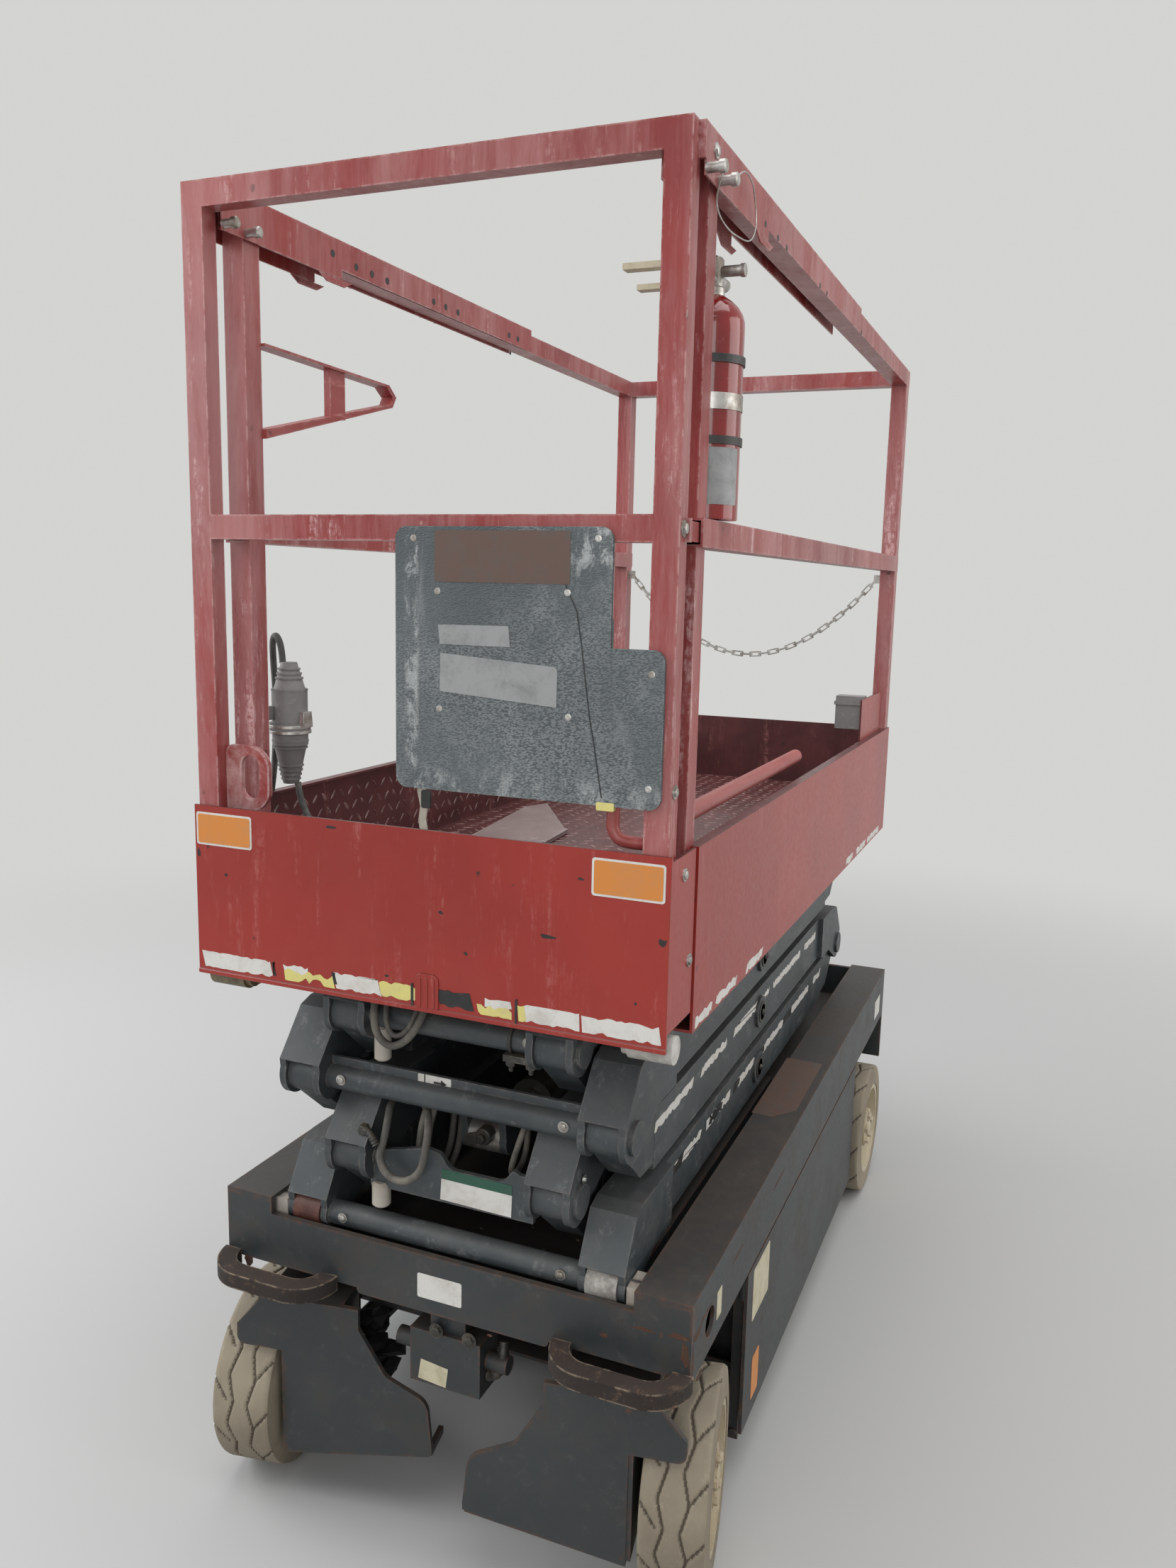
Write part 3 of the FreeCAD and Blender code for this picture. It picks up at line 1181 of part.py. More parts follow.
def cable_connector():
    """The in-line connector beside the right front post, hung from a clip."""
    x, y = d.connector_x, d.connector_y
    body = bar("z", (d.connector_bottom + 60, d.connector_top - 40), x, y, 27)
    upper = bar("z", (d.connector_top - 41, d.connector_top), x, y, 24, 12)
    lower = bar("z", (d.connector_bottom, d.connector_bottom + 61), x, y, 12, 25)
    low = d.connector_bottom
    collar = bar("z", (low + 78, low + 94), x, y, 31)
    clip = block((x + 10, d.front_post - d.rail_tube - d.running_gap / 3), (y - 20, y - 10),
                 (low + 100, low + 120))
    return keep(join([body, upper, lower, collar, clip]), "cable_connector")


def hoop_bracket():
    """The triangular hoop on the right front post."""
    y = -(d.platform_half - 42)
    post = d.front_post - d.rail_tube
    span = (y - 12, y + 12)
    top = d.hoop_top
    outer = plate("xz", [(post, top - 132), (post, top), (post - 330, top - 7), (post - 352, top - 24),
                         (post - 340, top - 42)], span)
    inner = plate("xz", [(post + 5, top - 120), (post + 5, top - 4), (post - 322, top - 11),
                         (post - 343, top - 25), (post - 336, top - 37)], (y - 13, y + 13))
    tab = block((post - 205, post - 165), (y - 4, y + 8), (top - 80, top - 5))
    return keep(join([cut(outer, [inner]), tab]), "hoop_bracket")


def grab_bar():
    """The loose-looking round bar from the left front post back along the side."""
    y = d.platform_half - 40
    bar_z = d.toe_top + 29
    rod = bar("x", (60, d.front_post - d.rail_tube - 1), y, bar_z, 12)
    nut = bar("x", (d.front_post - d.rail_tube - 12, d.front_post - d.rail_tube), y, bar_z, 17)
    return keep(join([rod, nut]), "grab_bar")


def lanyard_anchor():
    """The oval lug welded inside the right end post, with the slot that a lanyard hooks into."""
    x = d.extension_front - d.end_post_deep
    edge = d.end_post_wide - d.end_post_half + d.running_gap / 3
    low = d.end_panel_top - 5
    lug = plate("yz", [(edge, low), (edge + d.lug_wide, low), (edge + d.lug_wide, low + d.lug_high),
                       (edge, low + d.lug_high)], (x, x + 8), rounds=[(1, 30), (2, 34), (3, 12)])
    y, z, through = edge + d.lug_wide - 32, low + d.lug_high / 2 + 1, (x - 1, x + 9)
    slot = join([bar("x", through, y, z + d.slot_rise, d.slot_radius),
                 bar("x", through, y, z - d.slot_rise, d.slot_radius),
                 block(through, (y - d.slot_radius, y + d.slot_radius), (z - d.slot_rise, z + d.slot_rise))])
    return keep(cut(lug, [slot]), "lanyard_anchor")


def build():
    base_frame()
    base_keel()
    side_rail(1, "left_side_rail")
    side_rail(-1, "right_side_rail")
    tie_down_rings()
    steering_cylinder()
    entry_ladder()
    tray(1, "left_tray")
    tray(-1, "right_tray")
    batteries()
    hydraulic_unit()
    pothole_bar(1, "left_pothole_bar")
    pothole_bar(-1, "right_pothole_bar")
    knuckle(1, "left_knuckle")
    knuckle(-1, "right_knuckle")
    tie_rod()
    for side, name in ((1, "left"), (-1, "right")):
        wheel(side, d.front_axle, "front_%s" % name, True)
        wheel(side, d.rear_axle, "rear_%s" % name, False)
    scissor_stack()
    rollers_and_blocks()
    lift_cylinder()
    platform_frame()
    toe_boards()
    document_box()
    main_guardrail()
    entry_chain()
    support_rollers()
    extension_deck()
    extension_rails()
    control_panel()
    control_console()
    fire_extinguisher()
    extinguisher_straps()
    cable_connector()
    hoop_bracket()
    grab_bar()
    lanyard_anchor()


build()
doc.recompute()

for thing in doc.Objects:
    if "Invalid" in thing.State or "Error" in thing.State:
        raise RuntimeError("%s (%s) failed: %s" % (thing.Name, thing.Label, thing.State))
os.makedirs("parts", exist_ok=True)
for node in nodes:
    shape = node.Shape
    if shape.isNull() or not shape.isValid():
        raise RuntimeError("%s has no valid shape" % node.Label)
    shape.exportStep("parts/%s.step" % node.Label)
print("%d sub-parts written" % len(nodes))
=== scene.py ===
import json
import random
from math import cos, radians, sin, sqrt, tau

import bmesh
import bpy
from mathutils import Matrix, Vector


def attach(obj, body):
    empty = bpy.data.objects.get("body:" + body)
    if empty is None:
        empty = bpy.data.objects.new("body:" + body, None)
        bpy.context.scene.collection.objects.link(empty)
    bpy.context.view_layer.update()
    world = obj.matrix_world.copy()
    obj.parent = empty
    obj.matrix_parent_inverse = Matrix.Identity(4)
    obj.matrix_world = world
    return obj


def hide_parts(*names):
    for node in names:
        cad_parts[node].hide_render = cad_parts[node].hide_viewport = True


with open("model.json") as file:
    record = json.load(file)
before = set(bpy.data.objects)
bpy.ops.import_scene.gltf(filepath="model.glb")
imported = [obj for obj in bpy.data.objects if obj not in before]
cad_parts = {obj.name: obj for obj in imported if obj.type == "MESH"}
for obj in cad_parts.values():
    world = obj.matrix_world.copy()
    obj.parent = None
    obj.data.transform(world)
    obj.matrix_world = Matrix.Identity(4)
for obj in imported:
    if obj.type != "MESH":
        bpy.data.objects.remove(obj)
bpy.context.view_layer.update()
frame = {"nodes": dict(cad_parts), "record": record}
nodes = frame["nodes"]
rng = random.Random(7)


def added(name, data):
    """A new object that stands in the scene."""
    thing = bpy.data.objects.new(name, data)
    bpy.context.scene.collection.objects.link(thing)
    return thing


# Camera, at the photograph's place

PHOTO_HIGH = 2212
FOCAL_PIXELS = 1686.076
YAW, PITCH, ROLL = radians(202.5644), radians(-9.4536), radians(1.3077)
EYE = Vector((2.2201, 0.8115, 1.462))


def add_camera():
    ahead = Vector((cos(PITCH) * cos(YAW), cos(PITCH) * sin(YAW), sin(PITCH)))
    right = ahead.cross(Vector((0, 0, 1))).normalized()
    up = right.cross(ahead)
    turned_right = right * cos(ROLL) + up * sin(ROLL)
    turned_up = up * cos(ROLL) - right * sin(ROLL)
    data = bpy.data.cameras.new("camera")
    data.sensor_width = 36
    data.lens = FOCAL_PIXELS / PHOTO_HIGH * data.sensor_width
    data.clip_start, data.clip_end = 0.05, 60
    camera = added("camera", data)
    turn = Matrix((turned_right, turned_up, -ahead)).transposed().to_4x4()
    camera.matrix_world = Matrix.Translation(EYE) @ turn
    bpy.context.scene.camera = camera


add_camera()
bpy.context.scene.view_settings.view_transform = "Standard"


# Materials

class Nodes:
    """A short way to write the nodes of a material or of the world; colours are in thousandths."""

    def __init__(self, owner):
        owner.use_nodes = True
        self.owner, self.tree = owner, owner.node_tree
        self.tree.nodes.clear()

    def add(self, kind, inputs, **settings):
        """A node with its settings; its inputs, by name or number, are values or other sockets."""
        node = self.tree.nodes.new("ShaderNode" + kind)
        for key, value in settings.items():
            setattr(node, key, value)
        for key, value in inputs.items():
            self.put(node.inputs[key], value)
        return node

    def put(self, socket, value):
        if isinstance(value, bpy.types.NodeSocket):
            self.tree.links.new(value, socket)
        elif socket.type == "RGBA":
            socket.default_value = (*(v / 1000 for v in value), 1)
        else:
            socket.default_value = value


class Paint(Nodes):
    """The nodes of one material, with the textures and masks that the materials share."""

    def __init__(self, name):
        super().__init__(bpy.data.materials.new(name))
        self.shader = self.add("BsdfPrincipled", {})
        self.out = self.add("OutputMaterial", {"Surface": self.shader.outputs[0]})
        self.place = self.add("TexCoord", {}).outputs["Object"]
        self.normal = self.add("NewGeometry", {}).outputs["Normal"]

    def stretched(self, scale):
        return self.add("Mapping", {"Vector": self.place, "Scale": scale}).outputs[0]

    def noise(self, scale, detail=4, rough=0.55, stretch=None, warp=0.0):
        source = self.stretched(stretch) if stretch else self.place
        inputs = {"Vector": source, "Scale": scale, "Detail": detail, "Roughness": rough,
            "Distortion": warp}
        return self.add("TexNoise", inputs).outputs["Fac"]

    def ramp(self, value, low, high):
        inputs = {"Value": value, "From Min": low, "From Max": high}
        return self.add("MapRange", inputs, interpolation_type="SMOOTHSTEP").outputs["Result"]

    def math(self, operation, a, b=0.0, c=0.0):
        return self.add("Math", {0: a, 1: b, 2: c}, operation=operation).outputs[0]

    def times(self, a, b):
        return self.math("MULTIPLY", a, b)

    def most(self, a, b):
        return self.math("MAXIMUM", a, b)

    def mix(self, share, a, b):
        return self.add("Mix", {"Factor": share, 6: a, 7: b}, data_type="RGBA").outputs[2]

    def edges(self, radius):
        """Where the surface turns sharply within the radius."""
        bevel = self.add("Bevel", {"Radius": radius}, samples=4)
        inputs = {0: bevel.outputs[0], 1: self.normal}
        dot = self.add("VectorMath", inputs, operation="DOT_PRODUCT")
        return self.ramp(self.math("SUBTRACT", 1.0, dot.outputs["Value"]), 0.02, 0.22)

    def part(self, source, axis):
        """One of the three parts of a place or a direction."""
        return self.add("SeparateXYZ", {0: source}).outputs[axis]

    def facing(self, axis, low, high):
        """How far the surface faces along an axis."""
        return self.ramp(self.part(self.normal, axis), low, high)

    def spot(self, axis, low, high):
        """How far a point lies along an axis, from 0 at low to 1 at high."""
        return self.ramp(self.part(self.place, axis), low, high)

    def spot_band(self, axis, centre, half):
        """How far a point lies from a centre along an axis, from 0 there to 1 beyond the half width."""
        away = self.math("ABSOLUTE", self.math("SUBTRACT", self.part(self.place, axis), centre))
        return self.ramp(away, half * 0.5, half)

    def finish(self, colour, rough, bump=None, strength=0.2, distance=0.001, metallic=0.0, specular=0.5,
            coat=0.0):
        look = {"Base Color": colour, "Roughness": rough, "Metallic": metallic,
            "Specular IOR Level": specular, "Coat Weight": coat}
        if bump is not None:
            inputs = {"Strength": strength, "Distance": distance, "Height": bump}
            look["Normal"] = self.add("Bump", inputs).outputs[0]
        for key, value in look.items():
            self.put(self.shader.inputs[key], value)
        return self.owner


def painted(name, colour, dark, dust, scuff, worn, dust_amount=0.5, scuff_amount=0.4, rough=0.42,
        wear_width=0.004, streak=(1, 1, 1), chips=0.0, chip_colour=(20, 12, 10), inside=None, patches=(),
        haze=0.0):
    """Old paint: mottled, dusty on top, scuffed, chipped, and worn through along its edges.

    patches lists places (axis, centre, half, amount) with heavier scuffs, inside is a painted shade for
    the faces that look up or towards the machine's middle, and haze is the share of a thin whitish film,
    partly wear and partly painted sheen."""
    n = Paint(name)
    cloud = n.noise(4, 5, 0.55)
    fine = n.noise(110, 5, 0.65)
    paint = n.mix(n.ramp(cloud, 0.3, 0.75), dark, colour)
    # Painted shade: faces that look up, inward in Y or back towards the middle in X take the darker inside
    # colour.
    if inside is not None:
        inward = n.times(n.times(n.part(n.place, "Y"), n.part(n.normal, "Y")), -1.0)
        rear = n.times(n.part(n.normal, "X"), n.times(n.part(n.place, "X"), -1.0))
        within = n.most(n.ramp(inward, 0.1, 0.2), n.ramp(rear, 0.3, 0.5))
        within = n.most(within, n.facing("Z", 0.55, 0.9))
        deep = n.mix(n.ramp(n.noise(9, 6, 0.7), 0.35, 0.7), inside, tuple(v * 1.7 for v in inside))
        paint = n.mix(within, paint, deep)
    grit = n.ramp(n.noise(300, 3, 0.75), 0.6, 0.72)
    paint = n.mix(n.times(grit, 0.3 * dust_amount), paint, dust)
    top = n.facing("Z", 0.3, 0.95)
    dusty = n.times(n.ramp(n.noise(11, 7, 0.72), 0.42, 0.75), dust_amount)
    dusty = n.math("MULTIPLY_ADD", top, 0.42 * dust_amount, n.times(dusty, 0.5))
    paint = n.mix(n.math("MINIMUM", dusty, 0.9), paint, dust)
    if haze:
        # A thin whitish film over the paint: partly wear, partly painted sheen on the red rails and posts.
        wear_and_sheen_film = n.ramp(n.noise(8, 8, 0.75, stretch=streak, warp=0.4), 0.38, 0.66)
        paint = n.mix(n.times(wear_and_sheen_film, haze), paint, scuff)
    rub = n.ramp(n.noise(30, 9, 0.8, stretch=streak, warp=0.25), 0.53, 0.68)
    rub = n.times(rub, n.ramp(fine, 0.36, 0.6))
    share = scuff_amount
    for axis, centre, half, amount in patches:
        near = n.math("SUBTRACT", 1.0, n.spot_band(axis, centre, half))
        share = n.math("MULTIPLY_ADD", near, amount, share)
    paint = n.mix(n.math("MINIMUM", n.times(rub, share), 0.92), paint, scuff)
    if chips:
        warped = n.add("TexNoise", {"Scale": 60, "Vector": n.place}).outputs["Color"]
        inputs = {0: warped, 1: (0.012, 0.012, 0.012), 2: n.place}
        moved = n.add("VectorMath", inputs, operation="MULTIPLY_ADD").outputs[0]
        cells = n.add("TexVoronoi", {"Scale": 26, "Vector": moved}, feature="F1")
        spot = n.ramp(cells.outputs["Distance"], 0.13, 0.07)
        rare = n.ramp(n.noise(7, 2, 0.5), 0.56, 0.6)
        paint = n.mix(n.times(n.times(spot, rare), chips), paint, chip_colour)
    # Edges take the worn colour: edge wear, and on the loose sheet also a painted highlight.
    edge = n.times(n.edges(wear_width), n.ramp(n.noise(38, 7, 0.75), 0.44, 0.58))
    paint = n.mix(n.times(edge, 0.85), paint, worn)
    height = n.math("MULTIPLY_ADD", edge, -0.6, n.times(fine, 0.5))
    shine = n.math("MULTIPLY_ADD", dusty, 0.35, n.math("MULTIPLY_ADD", fine, 0.25, rough - 0.12))
    return n.finish(paint, shine, height, 0.22, 0.0007)


def panel_plastic():
    """Pebbled grey plastic, whitened by dust where it isn't rubbed clean."""
    n = Paint("panel_plastic")
    inputs = {"Scale": 520, "Vector": n.stretched((1, 0.62, 1.25))}
    pebble = n.add("TexVoronoi", inputs, feature="SMOOTH_F1")
    bump = n.ramp(pebble.outputs["Distance"], 0.15, 0.75)
    base = n.mix(n.ramp(n.noise(6, 5, 0.6), 0.35, 0.7), (62, 72, 77), (86, 98, 103))
    cover = n.ramp(n.noise(4.0, 8, 0.72, warp=0.7), 0.34, 0.72)
    cover = n.times(cover, n.ramp(bump, 0.85, 0.15))
    clean = n.times(n.spot("Z", 1.35, 1.43), n.spot("Y", 0.17, 0.09))
    cover = n.times(cover, n.math("MULTIPLY_ADD", clean, -0.85, 1.0))
    base = n.mix(n.times(cover, 0.55), base, (300, 315, 315))
    smear = n.ramp(n.noise(13, 9, 0.78, stretch=(1, 1, 0.22), warp=0.5), 0.54, 0.76)
    base = n.mix(n.times(smear, 0.42), base, (380, 390, 385))
    corner = n.times(n.spot("Y", 0.195, 0.245), n.spot("Z", 1.44, 1.5))
    foot = n.spot("Z", 1.235, 1.205)
    line = n.math("SUBTRACT", 1.0, n.spot_band("Y", 0.0, 0.013))
    scraped = n.most(n.most(corner, n.times(foot, 0.6)), n.times(line, 0.8))
    scraped = n.times(scraped, n.ramp(n.noise(38, 8, 0.8, stretch=(1, 1, 0.6), warp=0.4), 0.47, 0.6))
    base = n.mix(n.times(scraped, 0.7), base, (440, 450, 440))
    grime = n.ramp(n.noise(7, 7, 0.74, warp=0.4), 0.6, 0.78)
    base = n.mix(n.times(grime, 0.4), base, (26, 31, 34))
    edge = n.times(n.edges(0.003), n.ramp(n.noise(60, 5, 0.7), 0.45, 0.6))
    base = n.mix(n.times(edge, 0.6), base, (300, 310, 300))
    return n.finish(base, 0.62, bump, 0.45, 0.0012, specular=0.4)


def roller(name, scale, rough, right, left):
    """A stained roller; each half has its own dark and light colour."""
    n = Paint(name)
    stain = n.ramp(n.noise(scale, 7, 0.7), 0.35, 0.7)
    colour = n.mix(n.spot("Y", -0.01, 0.01), n.mix(stain, *right), n.mix(stain, *left))
    return n.finish(colour, rough, stain, 0.3, 0.0006)


def bare_steel():
    n = Paint("bare_steel")
    cloud = n.noise(30, 6, 0.7)
    colour = n.mix(n.ramp(cloud, 0.4, 0.65), (500, 490, 470), (240, 210, 180))
    return n.finish(colour, n.math("MULTIPLY_ADD", cloud, 0.5, 0.14), n.noise(200), 0.2, 0.0004,
        metallic=0.85)


def bottle_red():
    n = Paint("bottle_red")
    cloud = n.noise(9, 5, 0.6)
    colour = n.mix(n.ramp(cloud, 0.3, 0.7), (160, 6, 6), (250, 10, 8))
    dust = n.ramp(n.noise(60, 6, 0.75), 0.56, 0.74)
    colour = n.mix(n.times(dust, 0.25), colour, (400, 240, 210))
    return n.finish(colour, n.math("MULTIPLY_ADD", dust, 0.4, 0.16), dust, 0.1, 0.0003, coat=0.4)


def sheet_label(name, colour, dirt, amount):
    """A blank printed film, dirty and worn."""
    n = Paint(name)
    stain = n.ramp(n.noise(28, 7, 0.72, warp=0.4), 0.42, 0.72)
    fine = n.noise(160, 4, 0.7)
    shade = n.mix(n.times(stain, amount), colour, dirt)
    shade = n.mix(n.times(n.ramp(fine, 0.6, 0.75), amount), shade, dirt)
    return n.finish(shade, n.math("MULTIPLY_ADD", stain, 0.2, 0.4), fine, 0.12, 0.0003)


def rubber(name, colour, dust):
    n = Paint(name)
    stain = n.ramp(n.noise(20, 7, 0.72), 0.4, 0.72)
    fine = n.noise(220, 4, 0.7)
    shade = n.mix(n.times(stain, 0.6), colour, dust)
    return n.finish(shade, 0.7, fine, 0.3, 0.0006)


PINK = (500, 200, 180)
RUST = (85, 34, 17)
ALONG_X, ALONG_Z = (0.12, 1, 1), (1, 1, 0.12)
ARM_GREY = painted("arm_paint", (46, 55, 60), (28, 34, 37), (140, 130, 115), (220, 225, 220),
    (160, 140, 120), 0.45, 0.55, 0.45, 0.005, (0.5, 1, 1), 0.4)
BASE_GREY = painted("base_paint", (29, 34, 36), (19, 23, 25), (72, 47, 31), (100, 100, 95), (110, 45, 22),
    0.62, 0.38, 0.45, 0.009, (0.4, 1, 1), 0.8, RUST)
# The red sheet's inside colour is painted shade on its faces that look inward or up.
SHEET_RED = painted("red_sheet", (290, 22, 14), (235, 16, 11), (300, 110, 80), PINK, (120, 30, 22), 0.12,
    0.34, 0.33, 0.003, ALONG_Z, 0.9, inside=(52, 13, 14))
# The haze on the rail and post reds is partly painted sheen as well as wear.
RAIL_RED = painted("red_rail", (275, 28, 24), (200, 18, 17), (360, 170, 150), PINK, (460, 270, 250), 0.22,
    0.7, 0.36, 0.005, ALONG_X, 0.5, haze=0.3)
POST_RED = painted("red_post", (275, 26, 21), (190, 17, 16), (340, 160, 140), (560, 340, 330),
    (520, 320, 300), 0.2, 0.65, 0.36, 0.005, ALONG_Z, 0.6, patches=(("Z", 1.42, 0.34, 0.6),), haze=0.34)
TREAD = painted("tread_red", (100, 22, 22), (50, 13, 13), (240, 150, 130), (400, 250, 230), (420, 280, 250),
    0.35, 0.6, 0.42, 0.003)
TYRE = painted("pale_tyre", (285, 240, 172), (170, 140, 100), (360, 315, 240), (400, 360, 280),
    (120, 90, 65), 0.45, 0.35, 0.8, 0.003)
# A darker colour for the faces down in the tyres' grooves.
GROOVE = painted("groove_darker", (130, 105, 75), (80, 64, 46), (180, 150, 110), (200, 170, 130),
    (120, 100, 70), 0.45, 0.3, 0.9)
RIM = painted("pale_rim", (520, 460, 340), (400, 330, 220), (340, 280, 200), (580, 550, 460), (160, 90, 50),
    0.4, 0.3, 0.5, chips=0.4, chip_colour=RUST)
RUSTY = painted("rusty_steel", (26, 16, 12), (12, 9, 8), (85, 42, 22), (220, 130, 75), (360, 270, 190),
    0.22, 0.55, 0.85, 0.005)
WORN_PLASTIC = painted("worn_plastic", (210, 200, 195), (120, 115, 110), (310, 290, 280), (380, 360, 350),
    (60, 55, 50), 0.7, 0.6, 0.6)
NYLON = painted("white_nylon", (500, 470, 420), (300, 260, 210), (200, 150, 110), (600, 580, 540),
    (160, 100, 70), 0.5, 0.3, 0.5)
BLACK = painted("black_paint", (18, 19, 20), (10, 10, 11), (85, 75, 60), (100, 100, 95), (70, 60, 50), 0.5,
    0.35, 0.45)
GREASE = painted("greasy_steel", (30, 28, 24), (13, 13, 12), (130, 105, 70), (200, 180, 140),
    (130, 110, 80), 0.75, 0.6, 0.45)
STEEL, PLASTIC, BOTTLE = bare_steel(), panel_plastic(), bottle_red()
BROWN_ROLLER = roller("brown_roller", 22, 0.55, ((55, 16, 12), (120, 45, 30)),
    ((160, 140, 120), (460, 440, 400)))
SIDE_ROLLER = roller("side_roller", 26, 0.5, ((75, 55, 25), (170, 130, 70)),
    ((300, 280, 250), (550, 530, 490)))
# Its near-white edge colour is partly edge wear and partly a painted highlight along the sheet's edges.
LOOSE_SHEET = painted("loose_sheet", (270, 195, 185), (170, 115, 110), (310, 260, 240), (480, 440, 420),
    (620, 580, 550), 0.4, 0.5, 0.5)
LUG_RED = painted("lug_red", (275, 26, 21), (190, 17, 16), (400, 240, 220), (580, 400, 380),
    (600, 440, 420), 0.3, 0.7, 0.36, 0.008, haze=0.6)
RUST_MARK = painted("rust_mark", (85, 36, 18), (40, 18, 11), (130, 70, 40), (200, 100, 50), (100, 40, 20),
    0.4, 0.6, 0.85)
CHIP = painted("chip_dark", (22, 14, 13), (12, 9, 9), (60, 30, 20), (100, 50, 40), (80, 40, 30), 0.3, 0.3,
    0.7)
WHITE = sheet_label("film_white", (600, 580, 540), (260, 200, 150), 0.35)
CREAM = sheet_label("film_cream", (520, 470, 330), (250, 200, 120), 0.5)
YELLOW = sheet_label("film_yellow", (600, 530, 170), (420, 360, 200), 0.5)
ORANGE = sheet_label("film_orange", (560, 200, 35), (400, 200, 100), 0.4)
GREEN = sheet_label("film_green", (12, 75, 45), (50, 70, 50), 0.5)
FADED = sheet_label("film_faded", (100, 58, 43), (70, 60, 55), 0.8)
SILVER = sheet_label("film_silver", (270, 275, 270), (150, 150, 150), 0.7)
INK = sheet_label("film_black", (12, 12, 13), (50, 45, 40), 0.5)
HOSE = rubber("hose_rubber", (72, 66, 57), (230, 205, 165))
CABLE = rubber("cable_rubber", (45, 44, 42), (190, 180, 165))
ROUGH_RUBBER = rubber("black_rubber", (8, 8, 8), (30, 28, 24))

MATERIALS = {"grey_paint": BASE_GREY, "rusty_steel": RUSTY, "red_paint": POST_RED, "panel_plastic": PLASTIC,
    "pale_tyre": TYRE, "pale_rim": RIM, "white_nylon": NYLON, "bare_steel": STEEL, "black_paint": BLACK,
    "bottle_red": BOTTLE}
OWN = {"extension_deck": SHEET_RED, "toe_boards": SHEET_RED, "platform_frame": SHEET_RED,
    "main_guardrail": POST_RED, "extension_rails": POST_RED, "hoop_bracket": RAIL_RED, "grab_bar": RAIL_RED,
    "lanyard_anchor": LUG_RED, "base_rollers": BROWN_ROLLER, "support_rollers": SIDE_ROLLER,
    "cable_connector": WORN_PLASTIC, "cylinder_barrel": GREASE, "cylinder_rod": STEEL,
    "document_box": WORN_PLASTIC, "hydraulic_unit": BLACK}
for level in (1, 2, 3, 4):
    OWN["inner_arms_%d" % level] = ARM_GREY
    OWN["outer_arms_%d" % level] = ARM_GREY


def soften(thing, width):
    soft = thing.modifiers.new("soft_edges", "BEVEL")
    soft.width = width
    soft.segments = 2
    soft.limit_method = "ANGLE"
    soft.angle_limit = radians(35)


for subpart in frame["record"]["subparts"]:
    thing = nodes[subpart["node"]]
    thing.data.materials.clear()
    thing.data.materials.append(OWN.get(subpart["node"], MATERIALS[subpart["material_slot"]]))
    soften(thing, 0.0015)


def dress_valve(name, valve_low, lever_y):
    """The bottle's valve is bright metal and its two levers are cream."""
    bpy.context.view_layer.update()
    thing = nodes[name]
    thing.data.materials.append(STEEL)
    thing.data.materials.append(CREAM)
    for face in thing.data.polygons:
        spot = thing.matrix_world @ face.center
        if spot.z > valve_low:
            face.material_index = 2 if spot.y < lever_y else 1


dress_valve("fire_extinguisher", 1.8225, 0.316)


# Shapes that the pieces are made from

ORDER = {"x": lambda s, a, b: (s, a, b), "y": lambda s, a, b: (a, s, b), "z": lambda s, a, b: (a, b, s)}


def piece(name, body, shape, material, bevel=0.0, smooth=True, turn=None):
    """Turns a shape into a piece that rides on a body."""
    bmesh.ops.remove_doubles(shape, verts=shape.verts, dist=1e-6)
    bmesh.ops.recalc_face_normals(shape, faces=shape.faces)
    mesh = bpy.data.meshes.new(name)
    shape.to_mesh(mesh)
    shape.free()
    if turn is not None:
        mesh.transform(turn)
    mesh.materials.append(material)
    if smooth:
        mesh.polygons.foreach_set("use_smooth", [True] * len(mesh.polygons))
        mesh.set_sharp_from_angle(angle=radians(40))
    thing = added(name, mesh)
    if bevel:
        soften(thing, bevel)
    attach(thing, body)
    return thing


def metres(millimetres):
    return [v / 1000 for v in millimetres]


def skin(shape, rings):
    """Faces between each ring of points and the next; a ring of one point is a tip."""
    for one, two in zip(rings, rings[1:]):
        count = max(len(one), len(two))
        for i in range(count):
            after = (i + 1) % count
            if len(one) == 1:
                shape.faces.new((one[0], two[after], two[i]))
            elif len(two) == 1:
                shape.faces.new((one[i], one[after], two[0]))
            else:
                shape.faces.new((one[i], one[after], two[after], two[i]))


def prism(shape, outline, low, high, axis="x"):
    """A flat outline in the other two axes, made solid between two places along an axis."""
    order = ORDER[axis]
    first, second = [[shape.verts.new(order(s, a, b)) for a, b in outline] for s in (low, high)]
    shape.faces.new(first)
    shape.faces.new(second[::-1])
    skin(shape, [first, second])


def rounded(a0, a1, b0, b1, radius):
    """A rectangle with round corners."""
    points, steps = [], 5
    for a, b, start in ((a1 - radius, b1 - radius, 0), (a0 + radius, b1 - radius, 90),
            (a0 + radius, b0 + radius, 180), (a1 - radius, b0 + radius, 270)):
        for i in range(steps + 1):
            t = radians(start + 90 * i / steps)
            points.append((a + radius * cos(t), b + radius * sin(t)))
    return points


def torn(a0, a1, b0, b1, bite=0.004, step=0.006, ends=0.3):
    """A strip whose edges are torn; ends is how far its short ends lean and wander."""
    count = max(3, int(abs(a1 - a0) / step))
    lower = [(a0 + (a1 - a0) * i / count, b0 + bite * rng.random() ** 3) for i in range(count + 1)]
    upper = [(a0 + (a1 - a0) * i / count, b1 - bite * rng.random() ** 3) for i in range(count, -1, -1)]
    lean = (b1 - b0) * ends
    lower[0] = (lower[0][0] + lean * rng.random(), lower[0][1])
    upper[0] = (upper[0][0] - lean * rng.random(), upper[0][1])
    return lower + upper


def turned(shape, profile, centre, axis="x", sides=24):
    """A round form: profile gives (along, radius) from a centre on the other two axes."""
    order = ORDER[axis]
    rings = []
    for along, radius in profile:
        if radius <= 1e-6:
            rings.append([shape.verts.new(order(along, *centre))])
            continue
        spots = [(centre[0] + radius * cos(tau * i / sides), centre[1] + radius * sin(tau * i / sides))
            for i in range(sides)]
        rings.append([shape.verts.new(order(along, *spot)) for spot in spots])
    skin(shape, rings)
    for ring in (rings[0], rings[-1]):
        if len(ring) > 1:
            shape.faces.new(ring)


